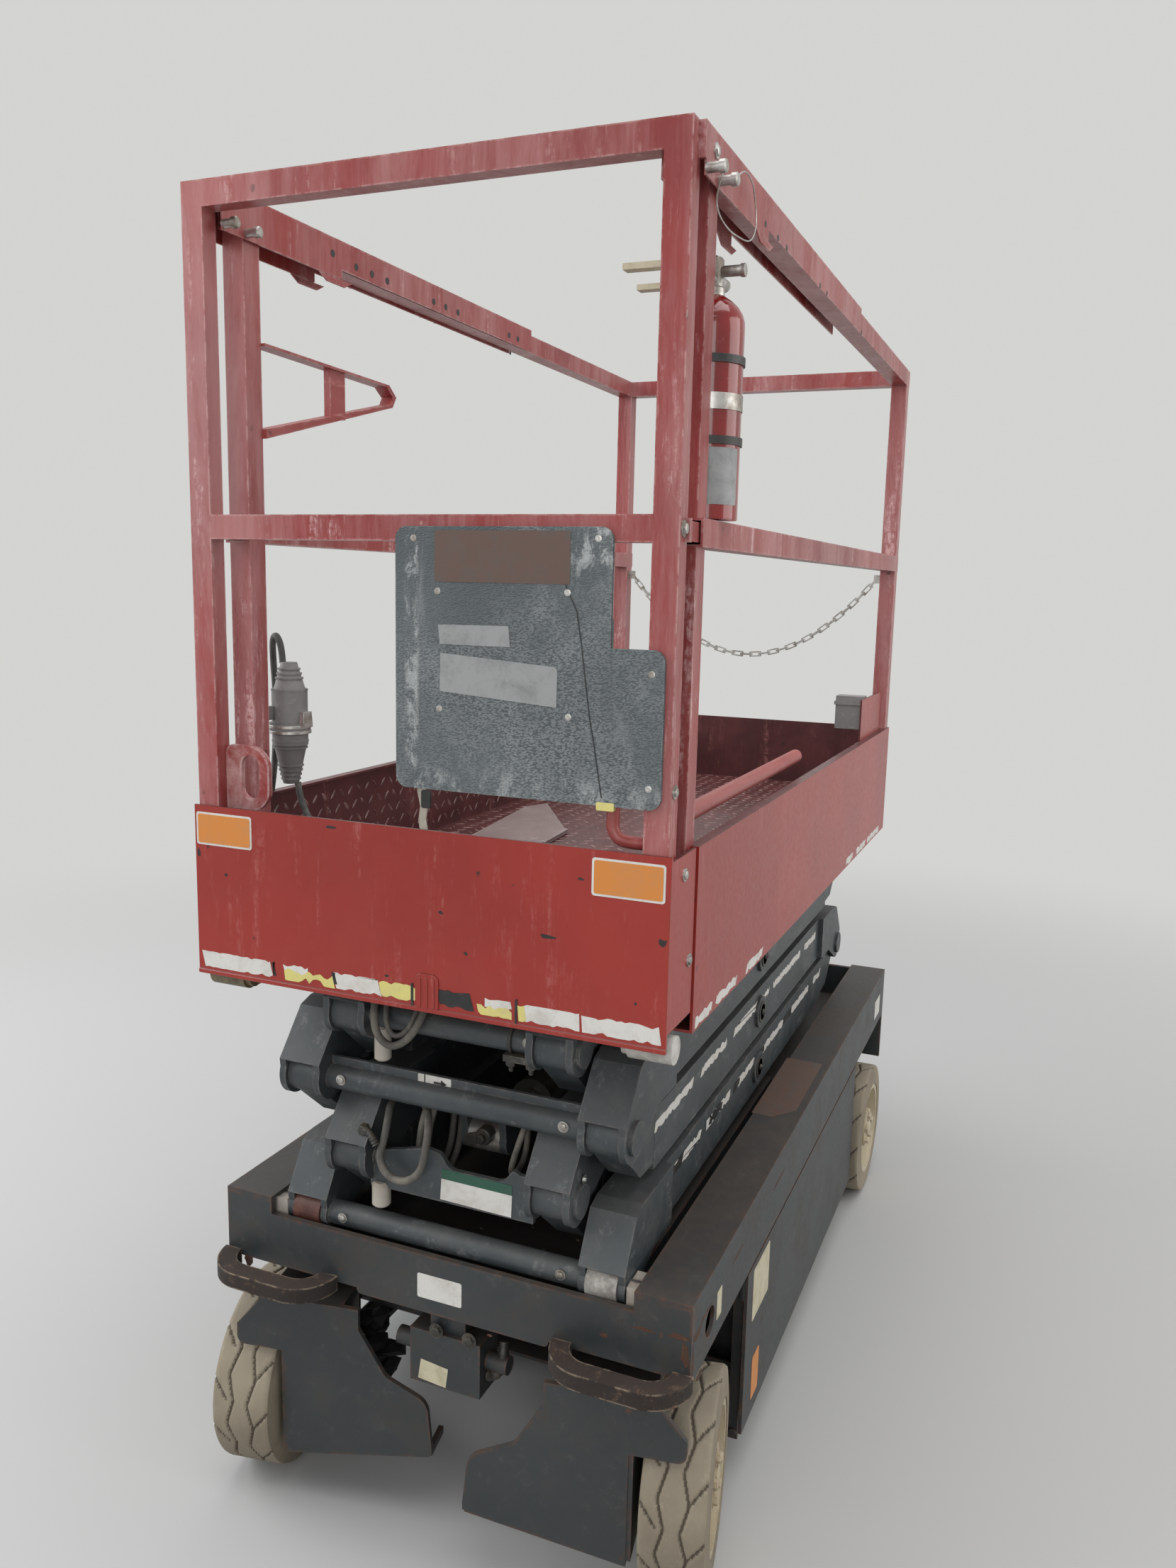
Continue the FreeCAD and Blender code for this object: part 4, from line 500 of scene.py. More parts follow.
def flowing(points):
    """Points along a smooth line through the given ones, which are in millimetres."""
    steps = 6
    spots = [Vector(metres(point)) for point in points]
    spots = [spots[0] * 2 - spots[1]] + spots + [spots[-1] * 2 - spots[-2]]
    line = []
    for a, b, c, e in zip(spots, spots[1:], spots[2:], spots[3:]):
        for i in range(steps):
            t = i / steps
            bend, twist = 2 * a - 5 * b + 4 * c - e, 3 * b - a - 3 * c + e
            line.append(0.5 * ((2 * b) + (c - a) * t + bend * t * t + twist * t ** 3))
    line.append(spots[-2])
    return line


def hose(shape, line, radius, sides=12, ribs=0.0, rib_step=2):
    """A tube along a line, with ribs where they are asked for."""
    ahead = (line[1] - line[0]).normalized()
    side = ahead.orthogonal().normalized()
    rings = []
    for i, spot in enumerate(line):
        before, after = line[max(0, i - 1)], line[min(len(line) - 1, i + 1)]
        now = (after - before).normalized()
        side = (side - now * side.dot(now)).normalized()
        other = now.cross(side)
        thick = radius + (ribs if i % rib_step == 0 else 0.0)
        turns = [tau * k / sides for k in range(sides)]
        rings.append([shape.verts.new(spot + side * thick * cos(t) + other * thick * sin(t))
            for t in turns])
    skin(shape, rings)
    shape.faces.new(rings[0][::-1])
    shape.faces.new(rings[-1])


def bolt(shape, spot, axis, way, radius, high):
    """A hexagon head on a washer, standing out of a face along an axis."""
    along = {"x": 0, "y": 1, "z": 2}[axis]
    centre = [spot[i] for i in range(3) if i != along]
    start = spot[along]
    turned(shape, [(start, radius * 1.5), (start + way * 0.0015, radius * 1.5)], centre, axis, 20)
    turned(shape, [(start, radius), (start + way * high * 0.85, radius),
        (start + way * high, radius * 0.82)], centre, axis, 6)


def dome(shape, x, y, z, radius, high):
    """A round screw head, with a socket, on a face that looks along X."""
    turned(shape, [(x, radius), (x + high * 0.5, radius * 0.92), (x + high, radius * 0.45),
        (x + high * 0.8, radius * 0.3), (x + high * 0.8, 0)], (y, z), "x", 18)


# Tyres with wavy grooves

TREAD_HALF, TYRE_RADIUS, BEAD_RADIUS, SHOULDER = 0.05, 0.1525, 0.108, 0.009


def groove(across, around):
    """How deep the tread is cut at a place, from 0 to 1: two zigzag lines, each with side branches."""
    wave, branch_long, groove_half, branch_half = 0.0799, 0.034, 0.0028, 0.003
    deep = 0.0
    for way in (1, -1):
        phase = around / wave + (0.25 if way > 0 else 0.7)
        swing = abs((phase % 1) * 2 - 1) * 2 - 1
        line = way * 0.017 + 0.0055 * swing
        deep = max(deep, 1 - abs(across - line) / groove_half)
        start = (phase % 1) * wave
        if start < branch_long:
            branch = way * 0.0225 + way * start * 0.75
            deep = max(deep, 1 - abs(across - branch) / branch_half)
    return min(1.0, max(0.0, deep * 1.6))


def tyre_piece(label, turn):
    shape = bmesh.new()
    sides, across = 240, 44
    rings = []
    for i in range(sides):
        angle = tau * i / sides
        profile = [(-TREAD_HALF, BEAD_RADIUS), (-TREAD_HALF, TYRE_RADIUS - 0.022),
            (-TREAD_HALF + 0.0015, TYRE_RADIUS - 0.012)]
        for j in range(across + 1):
            s = -TREAD_HALF + 0.003 + (2 * TREAD_HALF - 0.006) * j / across
            inward = max(0.0, (abs(s) - (TREAD_HALF - SHOULDER)) / SHOULDER)
            radius = TYRE_RADIUS - SHOULDER * (1 - sqrt(max(0.0, 1 - inward * inward)))
            radius -= 0.0042 * groove(s, angle * TYRE_RADIUS)
            profile.append((s, radius))
        profile += [(TREAD_HALF - 0.0015, TYRE_RADIUS - 0.012), (TREAD_HALF, TYRE_RADIUS - 0.022),
            (TREAD_HALF, BEAD_RADIUS)]
        spots = [(radius * cos(angle), s, radius * sin(angle)) for s, radius in profile]
        rings.append([shape.verts.new(spot) for spot in spots])
    for i in range(sides):
        one, two = rings[i], rings[(i + 1) % sides]
        around = (i + 0.5) * tau / sides * TYRE_RADIUS
        for j in range(len(one) - 1):
            face = shape.faces.new((one[j], one[j + 1], two[j + 1], two[j]))
            middle = (one[j].co + two[j + 1].co) / 2
            # Faces down in the grooves take the darker second colour.
            if 3 <= j < len(one) - 4 and groove(middle.y, around) > 0.55:
                face.material_index = 1
        shape.faces.new((one[-1], one[0], two[0], two[-1]))
    tyre = piece(label + "_tread", label + "_wheel", shape, TYRE, turn=turn)
    tyre.data.materials.append(GROOVE)
    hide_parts(label + "_tyre")


STEER = 10
KING_Y, WHEEL_OUT, FRONT_AXLE, REAR_AXLE, WHEEL_MIDDLE = 0.262, 0.093, 0.69, -0.626, 0.355


def wheel_nuts(label, turn, side):
    """Five nuts round the hub and a cap over its middle."""
    shape = bmesh.new()
    face = side * (TREAD_HALF - 0.006)
    for i in range(5):
        t = tau * (i + 0.25) / 5
        bolt(shape, (0.031 * cos(t), face, 0.031 * sin(t)), "y", side, 0.008, 0.008)
    turned(shape, [(face - side * 0.004, 0.0175), (face + side * 0.004, 0.0175),
        (face + side * 0.006, 0.014), (face + side * 0.0065, 0.0)], (0, 0), "y", 24)
    piece(label + "_nuts", label + "_wheel", shape, RIM, turn=turn)


def wheels():
    sine, cosine = sin(radians(STEER)), cos(radians(STEER))
    for side, name in ((1, "left"), (-1, "right")):
        front = (FRONT_AXLE - side * WHEEL_OUT * sine, side * (KING_Y + WHEEL_OUT * cosine), TYRE_RADIUS)
        rear = (REAR_AXLE, side * WHEEL_MIDDLE, TYRE_RADIUS)
        for label, centre, angle in (("front_" + name, front, STEER), ("rear_" + name, rear, 0)):
            turn = Matrix.Translation(centre) @ Matrix.Rotation(radians(angle), 4, "Z")
            tyre_piece(label, turn)
            wheel_nuts(label, turn, side)


wheels()


# Tread plate on the decks and inside the toe boards

def tread(name, body, corner, first, second, size, out):
    """Raised lens shapes on a face, turned one way and the other by turns."""
    shape = bmesh.new()
    pitch, high, sunk = 0.026, 0.0009, 0.0003
    rows, columns = int(size[0] / pitch), int(size[1] / pitch)
    spots = [Vector(corner) + first * (i + 0.5 * (j % 2)) * pitch + second * j * pitch
        for i in range(rows + 1) for j in range(columns + 1)]
    outline = [(0.012, 0), (0.005, 0.0032), (-0.005, 0.0032), (-0.012, 0), (-0.005, -0.0032),
        (0.005, -0.0032)]
    for i, spot in enumerate(spots):
        lean = radians(45 if i % 2 else -45)
        long_way = first * cos(lean) + second * sin(lean)
        cross = second * cos(lean) - first * sin(lean)
        foot = [shape.verts.new(spot + long_way * a + cross * b - out * sunk) for a, b in outline]
        crown = [shape.verts.new(spot + long_way * a + out * high) for a in (0.006, -0.006)]
        for face in ((foot[0], foot[1], crown[0]), (foot[1], foot[2], crown[1], crown[0]),
                (foot[2], foot[3], crown[1]), (foot[3], foot[4], crown[1]),
                (foot[4], foot[5], crown[0], crown[1]), (foot[5], foot[0], crown[0]), foot[::-1]):
            shape.faces.new(face)
    piece(name, body, shape, TREAD, smooth=False)


X, Y, Z = Vector((1, 0, 0)), Vector((0, 1, 0)), Vector((0, 0, 1))
tread("deck_tread", "platform", (-0.77, -0.345, 0.976), X, Y, (1.5, 0.69), Z)
tread("extension_tread", "extension", (-0.225, -0.298, 0.9823), X, Y, (1.05, 0.6), Z)
tread("left_board_tread", "platform", (-0.77, 0.362, 0.995), X, Z, (1.49, 0.11), -Y)
tread("right_board_tread", "platform", (-0.77, -0.362, 0.995), X, Z, (1.49, 0.11), Y)


# End toe panel: the strip of torn tape, the labels, the lip, the strap, the slits and the chips

PANEL_X = 0.871


def block(name, body, outlines, material, low, high, axis="x", bevel=0.0, smooth=True):
    """Flat outlines made solid between two places along an axis, as one piece."""
    shape = bmesh.new()
    for outline in outlines:
        prism(shape, outline, low, high, axis)
    piece(name, body, shape, material, bevel, smooth)


def film(name, body, outlines, material, place, thick=0.0004, axis="x"):
    block(name, body, outlines, material, place, place + thick, axis, smooth=False)


TAPE_LOW, TAPE_HIGH = 0.8955, 0.9195
WHITE_TAPE = (
    (-0.358, -0.232, 0, 0, 0.004), (-0.214, -0.17, 0.004, 0, 0.008), (-0.128, -0.05, 0, 0, 0.004),
    (0.11, 0.15, 0.006, 0, 0.01), (0.166, 0.247, 0, 0, 0.004), (0.249, 0.358, 0, 0, 0.004))
YELLOW_TAPE = (
    (-0.212, -0.126, 0, -0.006, 0.009), (-0.054, 0.01, 0.001, 0, 0.004), (0.098, 0.15, 0, -0.009, 0.007),
    (0.158, 0.171, 0, -0.002, 0.004))
BLACK_TAPE = (
    (-0.234, -0.226, 0.003, 0, 0.004), (-0.132, -0.122, 0.006, 0, 0.004),
    (0.036, 0.094, 0.002, 0.002, 0.004), (0.16, 0.168, 0, -0.012, 0.004))


def tape(name, rows, material, lift):
    """Torn strips in a row; each gives its start, end, shifts of the lower and upper edge, and bite."""
    outlines = [torn(a, b, TAPE_LOW + low, TAPE_HIGH + high, bite) for a, b, low, high, bite in rows]
    film(name, "extension", outlines, material, PANEL_X + lift)


tape("tape_white", WHITE_TAPE, WHITE, 0)
tape("tape_yellow", YELLOW_TAPE, YELLOW, 0.0002)
tape("tape_black", BLACK_TAPE, INK, 0.0001)

LABELS = ((-0.361, -0.264, 1.079, 1.127), (0.259, 0.357, 1.078, 1.127))
LABEL_EDGES = [rounded(*spot, 0.004) for spot in LABELS]
LABEL_FACES = [rounded(a + 0.003, b - 0.003, c + 0.003, e - 0.003, 0.003) for a, b, c, e in LABELS]
film("end_label_edges", "extension", LABEL_EDGES, WHITE, PANEL_X)
film("end_label_faces", "extension", LABEL_FACES, ORANGE, PANEL_X + 0.0004)


def end_panel_trim():
    """The folded lip along the bottom, the ridged latch strap over it and two slits beside it, drawn as
    black films of painted shade.
    """
    lip = [(PANEL_X - 0.0005, 0.8845), (PANEL_X + 0.0016, 0.885), (PANEL_X + 0.0019, 0.8905),
        (PANEL_X - 0.0005, 0.8925)]
    block("end_panel_lip", "extension", [lip], SHEET_RED, -0.364, 0.364, "y", 0.0005)
    strap = bmesh.new()
    prism(strap, rounded(0.004, 0.04, 0.8855, 0.939, 0.01), PANEL_X, PANEL_X + 0.0018)
    for y in (0.0075, 0.018, 0.0285):
        prism(strap, rounded(y, y + 0.006, 0.8905, 0.934, 0.0028), PANEL_X + 0.0017, PANEL_X + 0.0027)
    piece("latch_strap", "extension", strap, SHEET_RED, 0.0006)
    # Each slit is a black film, painted shade where an opening would be.
    slits = [rounded(0.1545, 0.158, 0.892, 0.925, 0.0015), rounded(-0.003, 0.001, 0.89, 0.923, 0.0015)]
    film("panel_slit_shade", "extension", slits, INK, PANEL_X + 0.0006)


end_panel_trim()


def scrap(spot):
    """A small patch with an uneven outline: its place, width and height are in millimetres."""
    y, z, wide, high = metres(spot)
    points, corners = [], 9
    for i in range(corners):
        t = tau * i / corners
        reach = 0.6 + 0.6 * rng.random()
        points.append((y + wide / 2 * reach * cos(t), z + high / 2 * reach * sin(t)))
    return points


CHIPS = (
    (-311, 1038, 7, 6), (43, 1027, 8, 5), (81, 976, 7, 5),
    (199, 1016, 26, 6), (355.5, 1029, 14, 10), (322, 945, 5, 6),
    (-359, 1066, 7, 16), (244, 1097, 10, 4), (-129, 1126, 20, 4),
    (13, 934, 10, 6), (-42, 927, 8, 5), (348, 908, 8, 12))
film("paint_chips", "extension", [scrap(spot) for spot in CHIPS], CHIP, PANEL_X, 0.0002)


# Control panel on the end frame

FACE_X = 0.873


def panel_trim():
    screws = bmesh.new()
    for y, z in ((0.003, 1.516), (0.258, 1.517), (0.038, 1.45), (0.219, 1.452), (0.041, 1.3), (0.223, 1.3),
            (0.331, 1.358), (0.331, 1.219)):
        dome(screws, FACE_X - 0.0002, y, z, 0.0045, 0.001)
    piece("panel_screws", "extension", screws, STEEL)
    x, thick = FACE_X - 0.0008, 0.0013
    small = torn(0.039, 0.142, 1.383, 1.409, 0.002, 0.012)
    large = [(0.042, 1.323), (0.207, 1.311), (0.2075, 1.357), (0.204, 1.361), (0.043, 1.372)]
    patch = rounded(0.034, 0.222, 1.462, 1.526, 0.002)
    crack = [(0.209, 1.5), (0.212, 1.47), (0.232, 1.43), (0.239, 1.39), (0.246, 1.34), (0.252, 1.3),
        (0.259, 1.266), (0.266, 1.225), (0.27, 1.203)]
    seam = [(y - 0.0009, z) for y, z in crack] + [(y + 0.0009, z) for y, z in crack[::-1]]
    film("panel_plate_small", "extension", [small], SILVER, x, thick)
    film("panel_plate_large", "extension", [large], SILVER, x, thick + 0.0004)
    film("panel_patch", "extension", [patch], FADED, x, thick)
    film("panel_seam", "extension", [seam], INK, x, thick - 0.0003)
    tab = rounded(0.263, 0.287, 1.187, 1.1975, 0.002)
    block("panel_tab", "extension", [tab], YELLOW, FACE_X - 0.0065, FACE_X + 0.0006,
        bevel=0.0006)


panel_trim()


def end_hook():
    """The bent pipe inside the left end post."""
    shape = bmesh.new()
    line = flowing([(834, 272, 1205), (834, 271, 1172), (834, 272, 1157), (834, 280, 1146),
        (834, 296, 1142.5), (834, 323.5, 1142.5)])
    hose(shape, line, 0.0085)
    piece("end_hook", "extension", shape, RAIL_RED)


end_hook()


# Holes (black discs of painted shade), bolts and lock pins along the top rails

INNER_HOLES = [(0.585, 1.955)] + [(x, 1.95) for x in (0.521, 0.476, 0.43, 0.278, 0.235, 0.19, -0.02, -0.06)]
RAIL_BOLTS = (
    (0.806, 0.366, 1.958, 0.006, 0.004), (0.853, 0.358, 1.53, 0.007, 0.005),
    (0.853, 0.358, 1.215, 0.006, 0.004), (0.82, 0.364, 1.105, 0.006, 0.004),
    (0.79, 0.364, 0.985, 0.006, 0.004))


def rail_trim():
    holes, pins = bmesh.new(), bmesh.new()
    for side in (1, -1):
        face = side * 0.312
        # The holes are not cut: each is a flat black disc, painted shade where a hole would be.
        for x, z in INNER_HOLES:
            turned(holes, [(face, 0.0055), (face - side * 0.0004, 0.0055)], (x, z), "y", 16)
        for x in (0.578, 0.51, 0.459, 0.234, 0.181, -0.134):
            turned(holes, [(side * 0.366, 0.0042), (side * 0.3664, 0.0042)], (x, 1.9395), "y", 16)
        start = 0.365 if side > 0 else -0.313
        for x in (0.838, 0.79):
            turned(pins, [(start, 0.006), (start + 0.016, 0.006), (start + 0.0165, 0.0078),
                (start + 0.023, 0.0078), (start + 0.0245, 0.006), (start + 0.0245, 0)], (x, 1.93), "y", 20)
        for x, y, z, radius, high in RAIL_BOLTS:
            bolt(pins, (x, side * y, z), "y", side, radius, high)
    piece("rail_hole_shade", "extension", holes, INK)
    piece("rail_pins", "extension", pins, STEEL)


rail_trim()


def channel_ends():
    """The angled lips under both walls of each sliding channel."""
    shape = bmesh.new()
    lip = [(0.533, 1.9215), (0.62, 1.9215), (0.6, 1.9115), (0.553, 1.9115)]
    for side in (1, -1):
        prism(shape, lip, side * 0.3665, side * 0.364, "y")
        prism(shape, lip, side * 0.312, side * 0.3145, "y")
    piece("channel_ends", "extension", shape, POST_RED, 0.0005)


channel_ends()


# Free hoses between the arms, the cables at the connector and the wire at the lock pins

def cord(name, body, points, diameter, material):
    """A free hose or cable along points in millimetres: one smooth line with a round section."""
    points = [tuple(metres(point)) for point in points]
    data = bpy.data.curves.new(name, "CURVE")
    data.dimensions = "3D"
    data.resolution_u = 10
    line = data.splines.new("NURBS")
    line.points.add(len(points) - 1)
    for point, place in zip(line.points, points):
        point.co = (*place, 1)
    line.order_u = 3
    line.use_endpoint_u = True
    thing = added(name, data)
    bare = bpy.data.meshes.new_from_object(thing)
    bpy.data.meshes.remove(bare)
    data.bevel_depth = diameter / 2
    data.bevel_resolution = 5
    data.use_fill_caps = True
    data.materials.append(material)
    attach(thing, body)


HOSES = (
    ("upper_hose_outer", "inner_arms_4", 0.0115,
     ((674, -134, 862), (720, -134, 863), (768, -124, 862), (791, -115, 838),
      (795, -109, 804), (795, -83, 787), (794, -52, 807), (789, -33, 843),
      (765, -37, 866), (722, -62, 867), (692, -100, 863), (674, -130, 850))),
    ("upper_hose_inner", "inner_arms_4", 0.0085,
     ((674, -122, 858), (722, -120, 858), (764, -108, 852), (784, -99, 834),
      (787, -94, 813), (788, -80, 802), (787, -60, 814), (783, -49, 840),
      (762, -52, 856), (724, -70, 856), (694, -96, 853), (674, -118, 847))),
    ("lower_hose", "inner_arms_2", 0.0115,
     ((676, -134, 664), (722, -128, 671), (760, -110, 664), (781, -104, 636),
      (787, -111, 609), (787, -99, 582), (787, -68, 575), (786, -38, 597),
      (779, -34, 633), (757, -42, 661), (724, -64, 673), (696, -100, 668),
      (676, -128, 655))),
    ("rod_hose_left", "inner_arms_2", 0.0105,
     ((646, -50, 665), (672, -50, 684), (708, -49, 690), (730, -50, 668),
      (741, -52, 636), (741, -54, 596), (728, -54, 562), (698, -53, 548),
      (662, -52, 556), (641, -51, 584), (636, -50, 634))),
    ("rod_hose_right", "inner_arms_2", 0.0105,
     ((646, -64, 665), (672, -63, 684), (708, -62, 690), (730, -63, 668),
      (741, -66, 636), (741, -68, 596), (728, -68, 562), (698, -67, 548),
      (662, -66, 556), (641, -65, 584), (636, -64, 634))),
    ("valve_hose", "inner_arms_2", 0.0095,
     ((646, 100, 664), (672, 101, 684), (706, 102, 688), (725, 99, 664),
      (727, 88, 628), (718, 76, 594), (694, 70, 573), (660, 68, 577),
      (641, 67, 598), (636, 66, 634))),
)
for name, body, diameter, points in HOSES:
    cord(name, body, points, diameter, HOSE)
cord("connector_lower_cable", "platform", ((713, -299.5, 1152), (713, -296, 1128),
    (716, -283, 1108), (724, -268, 1088), (730, -266, 1060), (728, -282, 1030), (722, -312, 1006),
    (716, -340, 998), (714, -359, 997)), 0.01, CABLE)
cord("connector_upper_cable", "platform", ((713, -323.5, 1334), (713, -325, 1358),
    (710, -336, 1377), (703, -349, 1371), (698, -353, 1343), (695, -351, 1285), (695, -353, 1210),
    (696, -357, 1160), (697, -362, 1129)), 0.01, CABLE)
cord("pin_lanyard", "extension", ((790, 387, 1932), (762, 385, 1948), (722, 380, 1958),
    (680, 375, 1960), (650, 371, 1946), (640, 371, 1923), (654, 372, 1903), (688, 375, 1888),
    (742, 379, 1879), (785, 378, 1876), (818, 374, 1886), (834, 376, 1905), (838, 387, 1928)), 0.0018,
    STEEL)


def stack_fittings():
    """Hose clips and a fitting, pads, a clamp, the rod's valve and bolt heads."""
    upper = "upper_hose_clip", "inner_arms_4", 0.655, 0.678, 0.842, 0.872, -0.112
    lower = "lower_hose_clip", "inner_arms_2", 0.66, 0.68, 0.644, 0.676, -0.118
    for name, body, x0, x1, z0, z1, end in (upper, lower):
        clip = [(x0, z0), (x0, z1), (x1, z1), (x1, z0)]
        block(name, body, [clip], GREASE, -0.1435, end, "y", 0.002)
    fitting = bmesh.new()
    hose(fitting, flowing([(776, -142, 640), (784, -132, 643), (789, -121, 639), (790, -113, 628)]), 0.0052,
        ribs=0.0012)
    turned(fitting, [(0.764, 0.009), (0.781, 0.009), (0.783, 0.007)], (-0.1435, 0.64), "x", 6)
    piece("hose_fitting", "inner_arms_2", fitting, GREASE)
    upper = "stack_pad", "inner_arms_4", 0.755, -0.122, 0.749, 0.804, 0.013
    lower = "base_pad", "inner_arms_2", 0.763, -0.121, 0.517, 0.556, 0.0145
    for name, body, x, y, low, high, radius in (upper, lower):
        pad = bmesh.new()
        turned(pad, [(low, radius - 0.003), (low + 0.003, radius), (high - 0.004, radius),
            (high, radius - 0.004), (high, 0)], (x, y), "z", 28)
        piece(name, body, pad, NYLON)
    clamp = bmesh.new()
    prism(clamp, [(0.744, 0.792), (0.744, 0.802), (0.776, 0.802), (0.776, 0.792)], 0.09, 0.141, "y")
    for y in (0.0995, 0.131):
        turned(clamp, [(0.803, 0.0038), (0.778, 0.0038), (0.776, 0.003)], (0.768, y), "z", 14)
        turned(clamp, [(0.792, 0.0078), (0.785, 0.0078), (0.784, 0.0068)], (0.768, y), "z", 6)
        arc = [Vector((0.755 + 0.0205 * cos(t), y, 0.82 + 0.0205 * sin(t)))
            for t in [radians(-60 + 10 * i) for i in range(30)]]
        hose(clamp, arc, 0.003, 10)
    piece("tube_clamp", "inner_arms_4", clamp, GREASE)
    lever = bmesh.new()
    turned(lever, [(0.656, 0.014), (0.674, 0.014), (0.676, 0.012)], (0.006, 0.614), "x", 24)
    turned(lever, [(0.676, 0.008), (0.683, 0.008), (0.685, 0.006)], (0.006, 0.614), "x", 6)
    handle = [(0.004, 0.622), (-0.024, 0.612), (-0.026, 0.6), (-0.014, 0.597), (0.01, 0.604)]
    prism(lever, handle, 0.668, 0.673)
    piece("rod_valve", "cylinder_rod", lever, GREASE, 0.0008)
    for name, body, height, y in (("stack_bolts", "outer_arms_3", 0.711, 0.185),
            ("base_bolts", "outer_arms_1", 0.485, 0.185), ("upper_bolts", "inner_arms_4", 0.824, 0.128)):
        heads = bmesh.new()
        for side in (1, -1):
            bolt(heads, (0.7735, side * y, height), "x", 1, 0.0055, 0.0045)
        piece(name, body, heads, STEEL)


stack_fittings()


def joint_bolts():
    """A keeper bolt beside each pin head, and a cap with a grease nipple on each centre hub."""
    near, far = 0.755, -0.69
    for level, height in ((1, 0.594), (3, 0.82)):
        heads = bmesh.new()
        for side in (1, -1):
            for x in (near, far):
                bolt(heads, (x - 0.011, side * 0.2055, height + 0.0285), "y", side, 0.0045, 0.004)
        piece("keeper_bolts_%d" % level, "inner_arms_%d" % level, heads, STEEL)
    for level, height in ((1, 0.5375), (2, 0.6505), (3, 0.7635), (4, 0.8765)):
        hubs = bmesh.new()
        for side in (1, -1):
            spot = (0.0325, height)
            turned(hubs, [(side * 0.2815, 0.006), (side * 0.2835, 0.006), (side * 0.2845, 0.0045),
                (side * 0.2875, 0.003), (side * 0.2885, 0.0)], spot, "y", 16)
            turned(hubs, [(side * 0.2795, 0.021), (side * 0.2818, 0.021), (side * 0.282, 0.0195),
                (side * 0.282, 0.0)], spot, "y", 28)
        piece("hub_caps_%d" % level, "inner_arms_%d" % level, hubs, GREASE)


joint_bolts()


# Films on the arms, the beam and the base: blank, dirty and torn

PLATE_LABEL = [(-0.016, 0.552), (0.102, 0.55), (0.103, 0.585), (-0.014, 0.586)]
PLATE_BAND = [(-0.014, 0.5855), (0.103, 0.5845), (0.1035, 0.6), (-0.013, 0.6012)]
BAR_LABEL = rounded(-0.061, -0.005, 0.7185, 0.738, 0.002)
BAR_LINE = [(-0.0505, 0.7185), (-0.0485, 0.7185), (-0.0485, 0.738), (-0.0505, 0.738)]
BAR_ARROW = [(-0.034, 0.7265), (-0.022, 0.7265), (-0.022, 0.7225), (-0.012, 0.7282), (-0.022, 0.734),
    (-0.022, 0.73), (-0.034, 0.73)]
BEAM_LABEL = rounded(-0.04, 0.035, 0.4025, 0.4415, 0.003)
BLOCK_LABEL = [(-0.046, 0.258), (0.002, 0.254), (0.006, 0.286), (-0.041, 0.291)]
film("plate_label_white", "inner_arms_2", [PLATE_LABEL], WHITE, 0.767)
film("plate_label_green", "inner_arms_2", [PLATE_BAND], GREEN, 0.7671)
film("bar_label", "outer_arms_3", [BAR_LABEL], WHITE, 0.755)
film("bar_label_mark", "outer_arms_3", [BAR_LINE, BAR_ARROW], INK, 0.7554, 0.0002)
film("beam_label", "root", [BEAM_LABEL], WHITE, 0.793)
film("block_label", "root", [BLOCK_LABEL], CREAM, 0.781)


def side_film(name, body, outlines, material, out, side, thick=0.0004):
    """A film on a side face, out from the middle; its outlines hold X and Z."""
    film(name, body, outlines, material, side * out, side * thick, "y")


def torn_row(start, end, z0, z1, longest=0.16, gap=0.05):
    """Torn lengths of film one after another."""
    found, x = [], start
    while x > end + 0.03:
        length = min(x - end, longest * (0.35 + 0.65 * rng.random()))
        found.append(torn(x - length, x, z0, z1, 0.006, 0.008, 0.7))
        x -= length + gap * (0.25 + 0.75 * rng.random())
    return found


ARM_FACE, BOARD_FACE, BASE_FACE = 0.274, 0.366, 0.39
STRIPES = (
    ("arm_stripes_low_", "outer_arms_1", "white_nylon", (0.69, -0.56, 0.5465, 0.564, 0.3, 0.06), WHITE,
     ARM_FACE),
    ("arm_stripes_dark_", "outer_arms_1", "black_paint", (0.56, -0.5, 0.547, 0.565, 0.09, 0.26), INK,
     ARM_FACE + 0.0003),
    ("arm_stripes_mid_", "outer_arms_2", "white_nylon", (0.64, -0.55, 0.66, 0.677, 0.28, 0.08), WHITE,
     ARM_FACE),
    ("deck_stripe_", "platform", "white_nylon", (0.758, 0.4, 0.88, 0.896, 0.22, 0.05), WHITE, BOARD_FACE),
    ("deck_stripe_far_", "platform", "white_nylon", (-0.3, -0.77, 0.88, 0.896, 0.2, 0.05), WHITE,
     BOARD_FACE))
SIDE_LABELS = (
    ("door_label_", "side_tray", "white_nylon", (0.347, 0.452, 0.272, 0.364, 0.004), CREAM),
    ("door_label_low_", "side_tray", "red_paint", (0.392, 0.436, 0.118, 0.196, 0.006), ORANGE),
    ("rail_label_", "root", "white_nylon", (0.648, 0.672, 0.408, 0.452, 0.002), CREAM),
    ("rail_label_rear_", "root", "white_nylon", (-0.762, -0.69, 0.406, 0.452, 0.003), WHITE))
SIDES = ((1, "left"), (-1, "right"))
for side, way in SIDES:
    for label, body, slot, row, material, out in STRIPES:
        side_film(label + way, body, torn_row(*row), material, out, side)
    for label, body, slot, spot, material in SIDE_LABELS:
        side_film(label + way, body.replace("side", way), [rounded(*spot)], material, BASE_FACE, side)
TOP_LABEL = [(-0.124, 0.3), (0.165, 0.302), (0.167, 0.34), (0.12, 0.376), (-0.122, 0.374)]
film("top_plate_label", "root", [TOP_LABEL], FADED, 0.501, axis="z")


# Base front: bolts and elbow of the steering block, dirt, torn rubber and rust

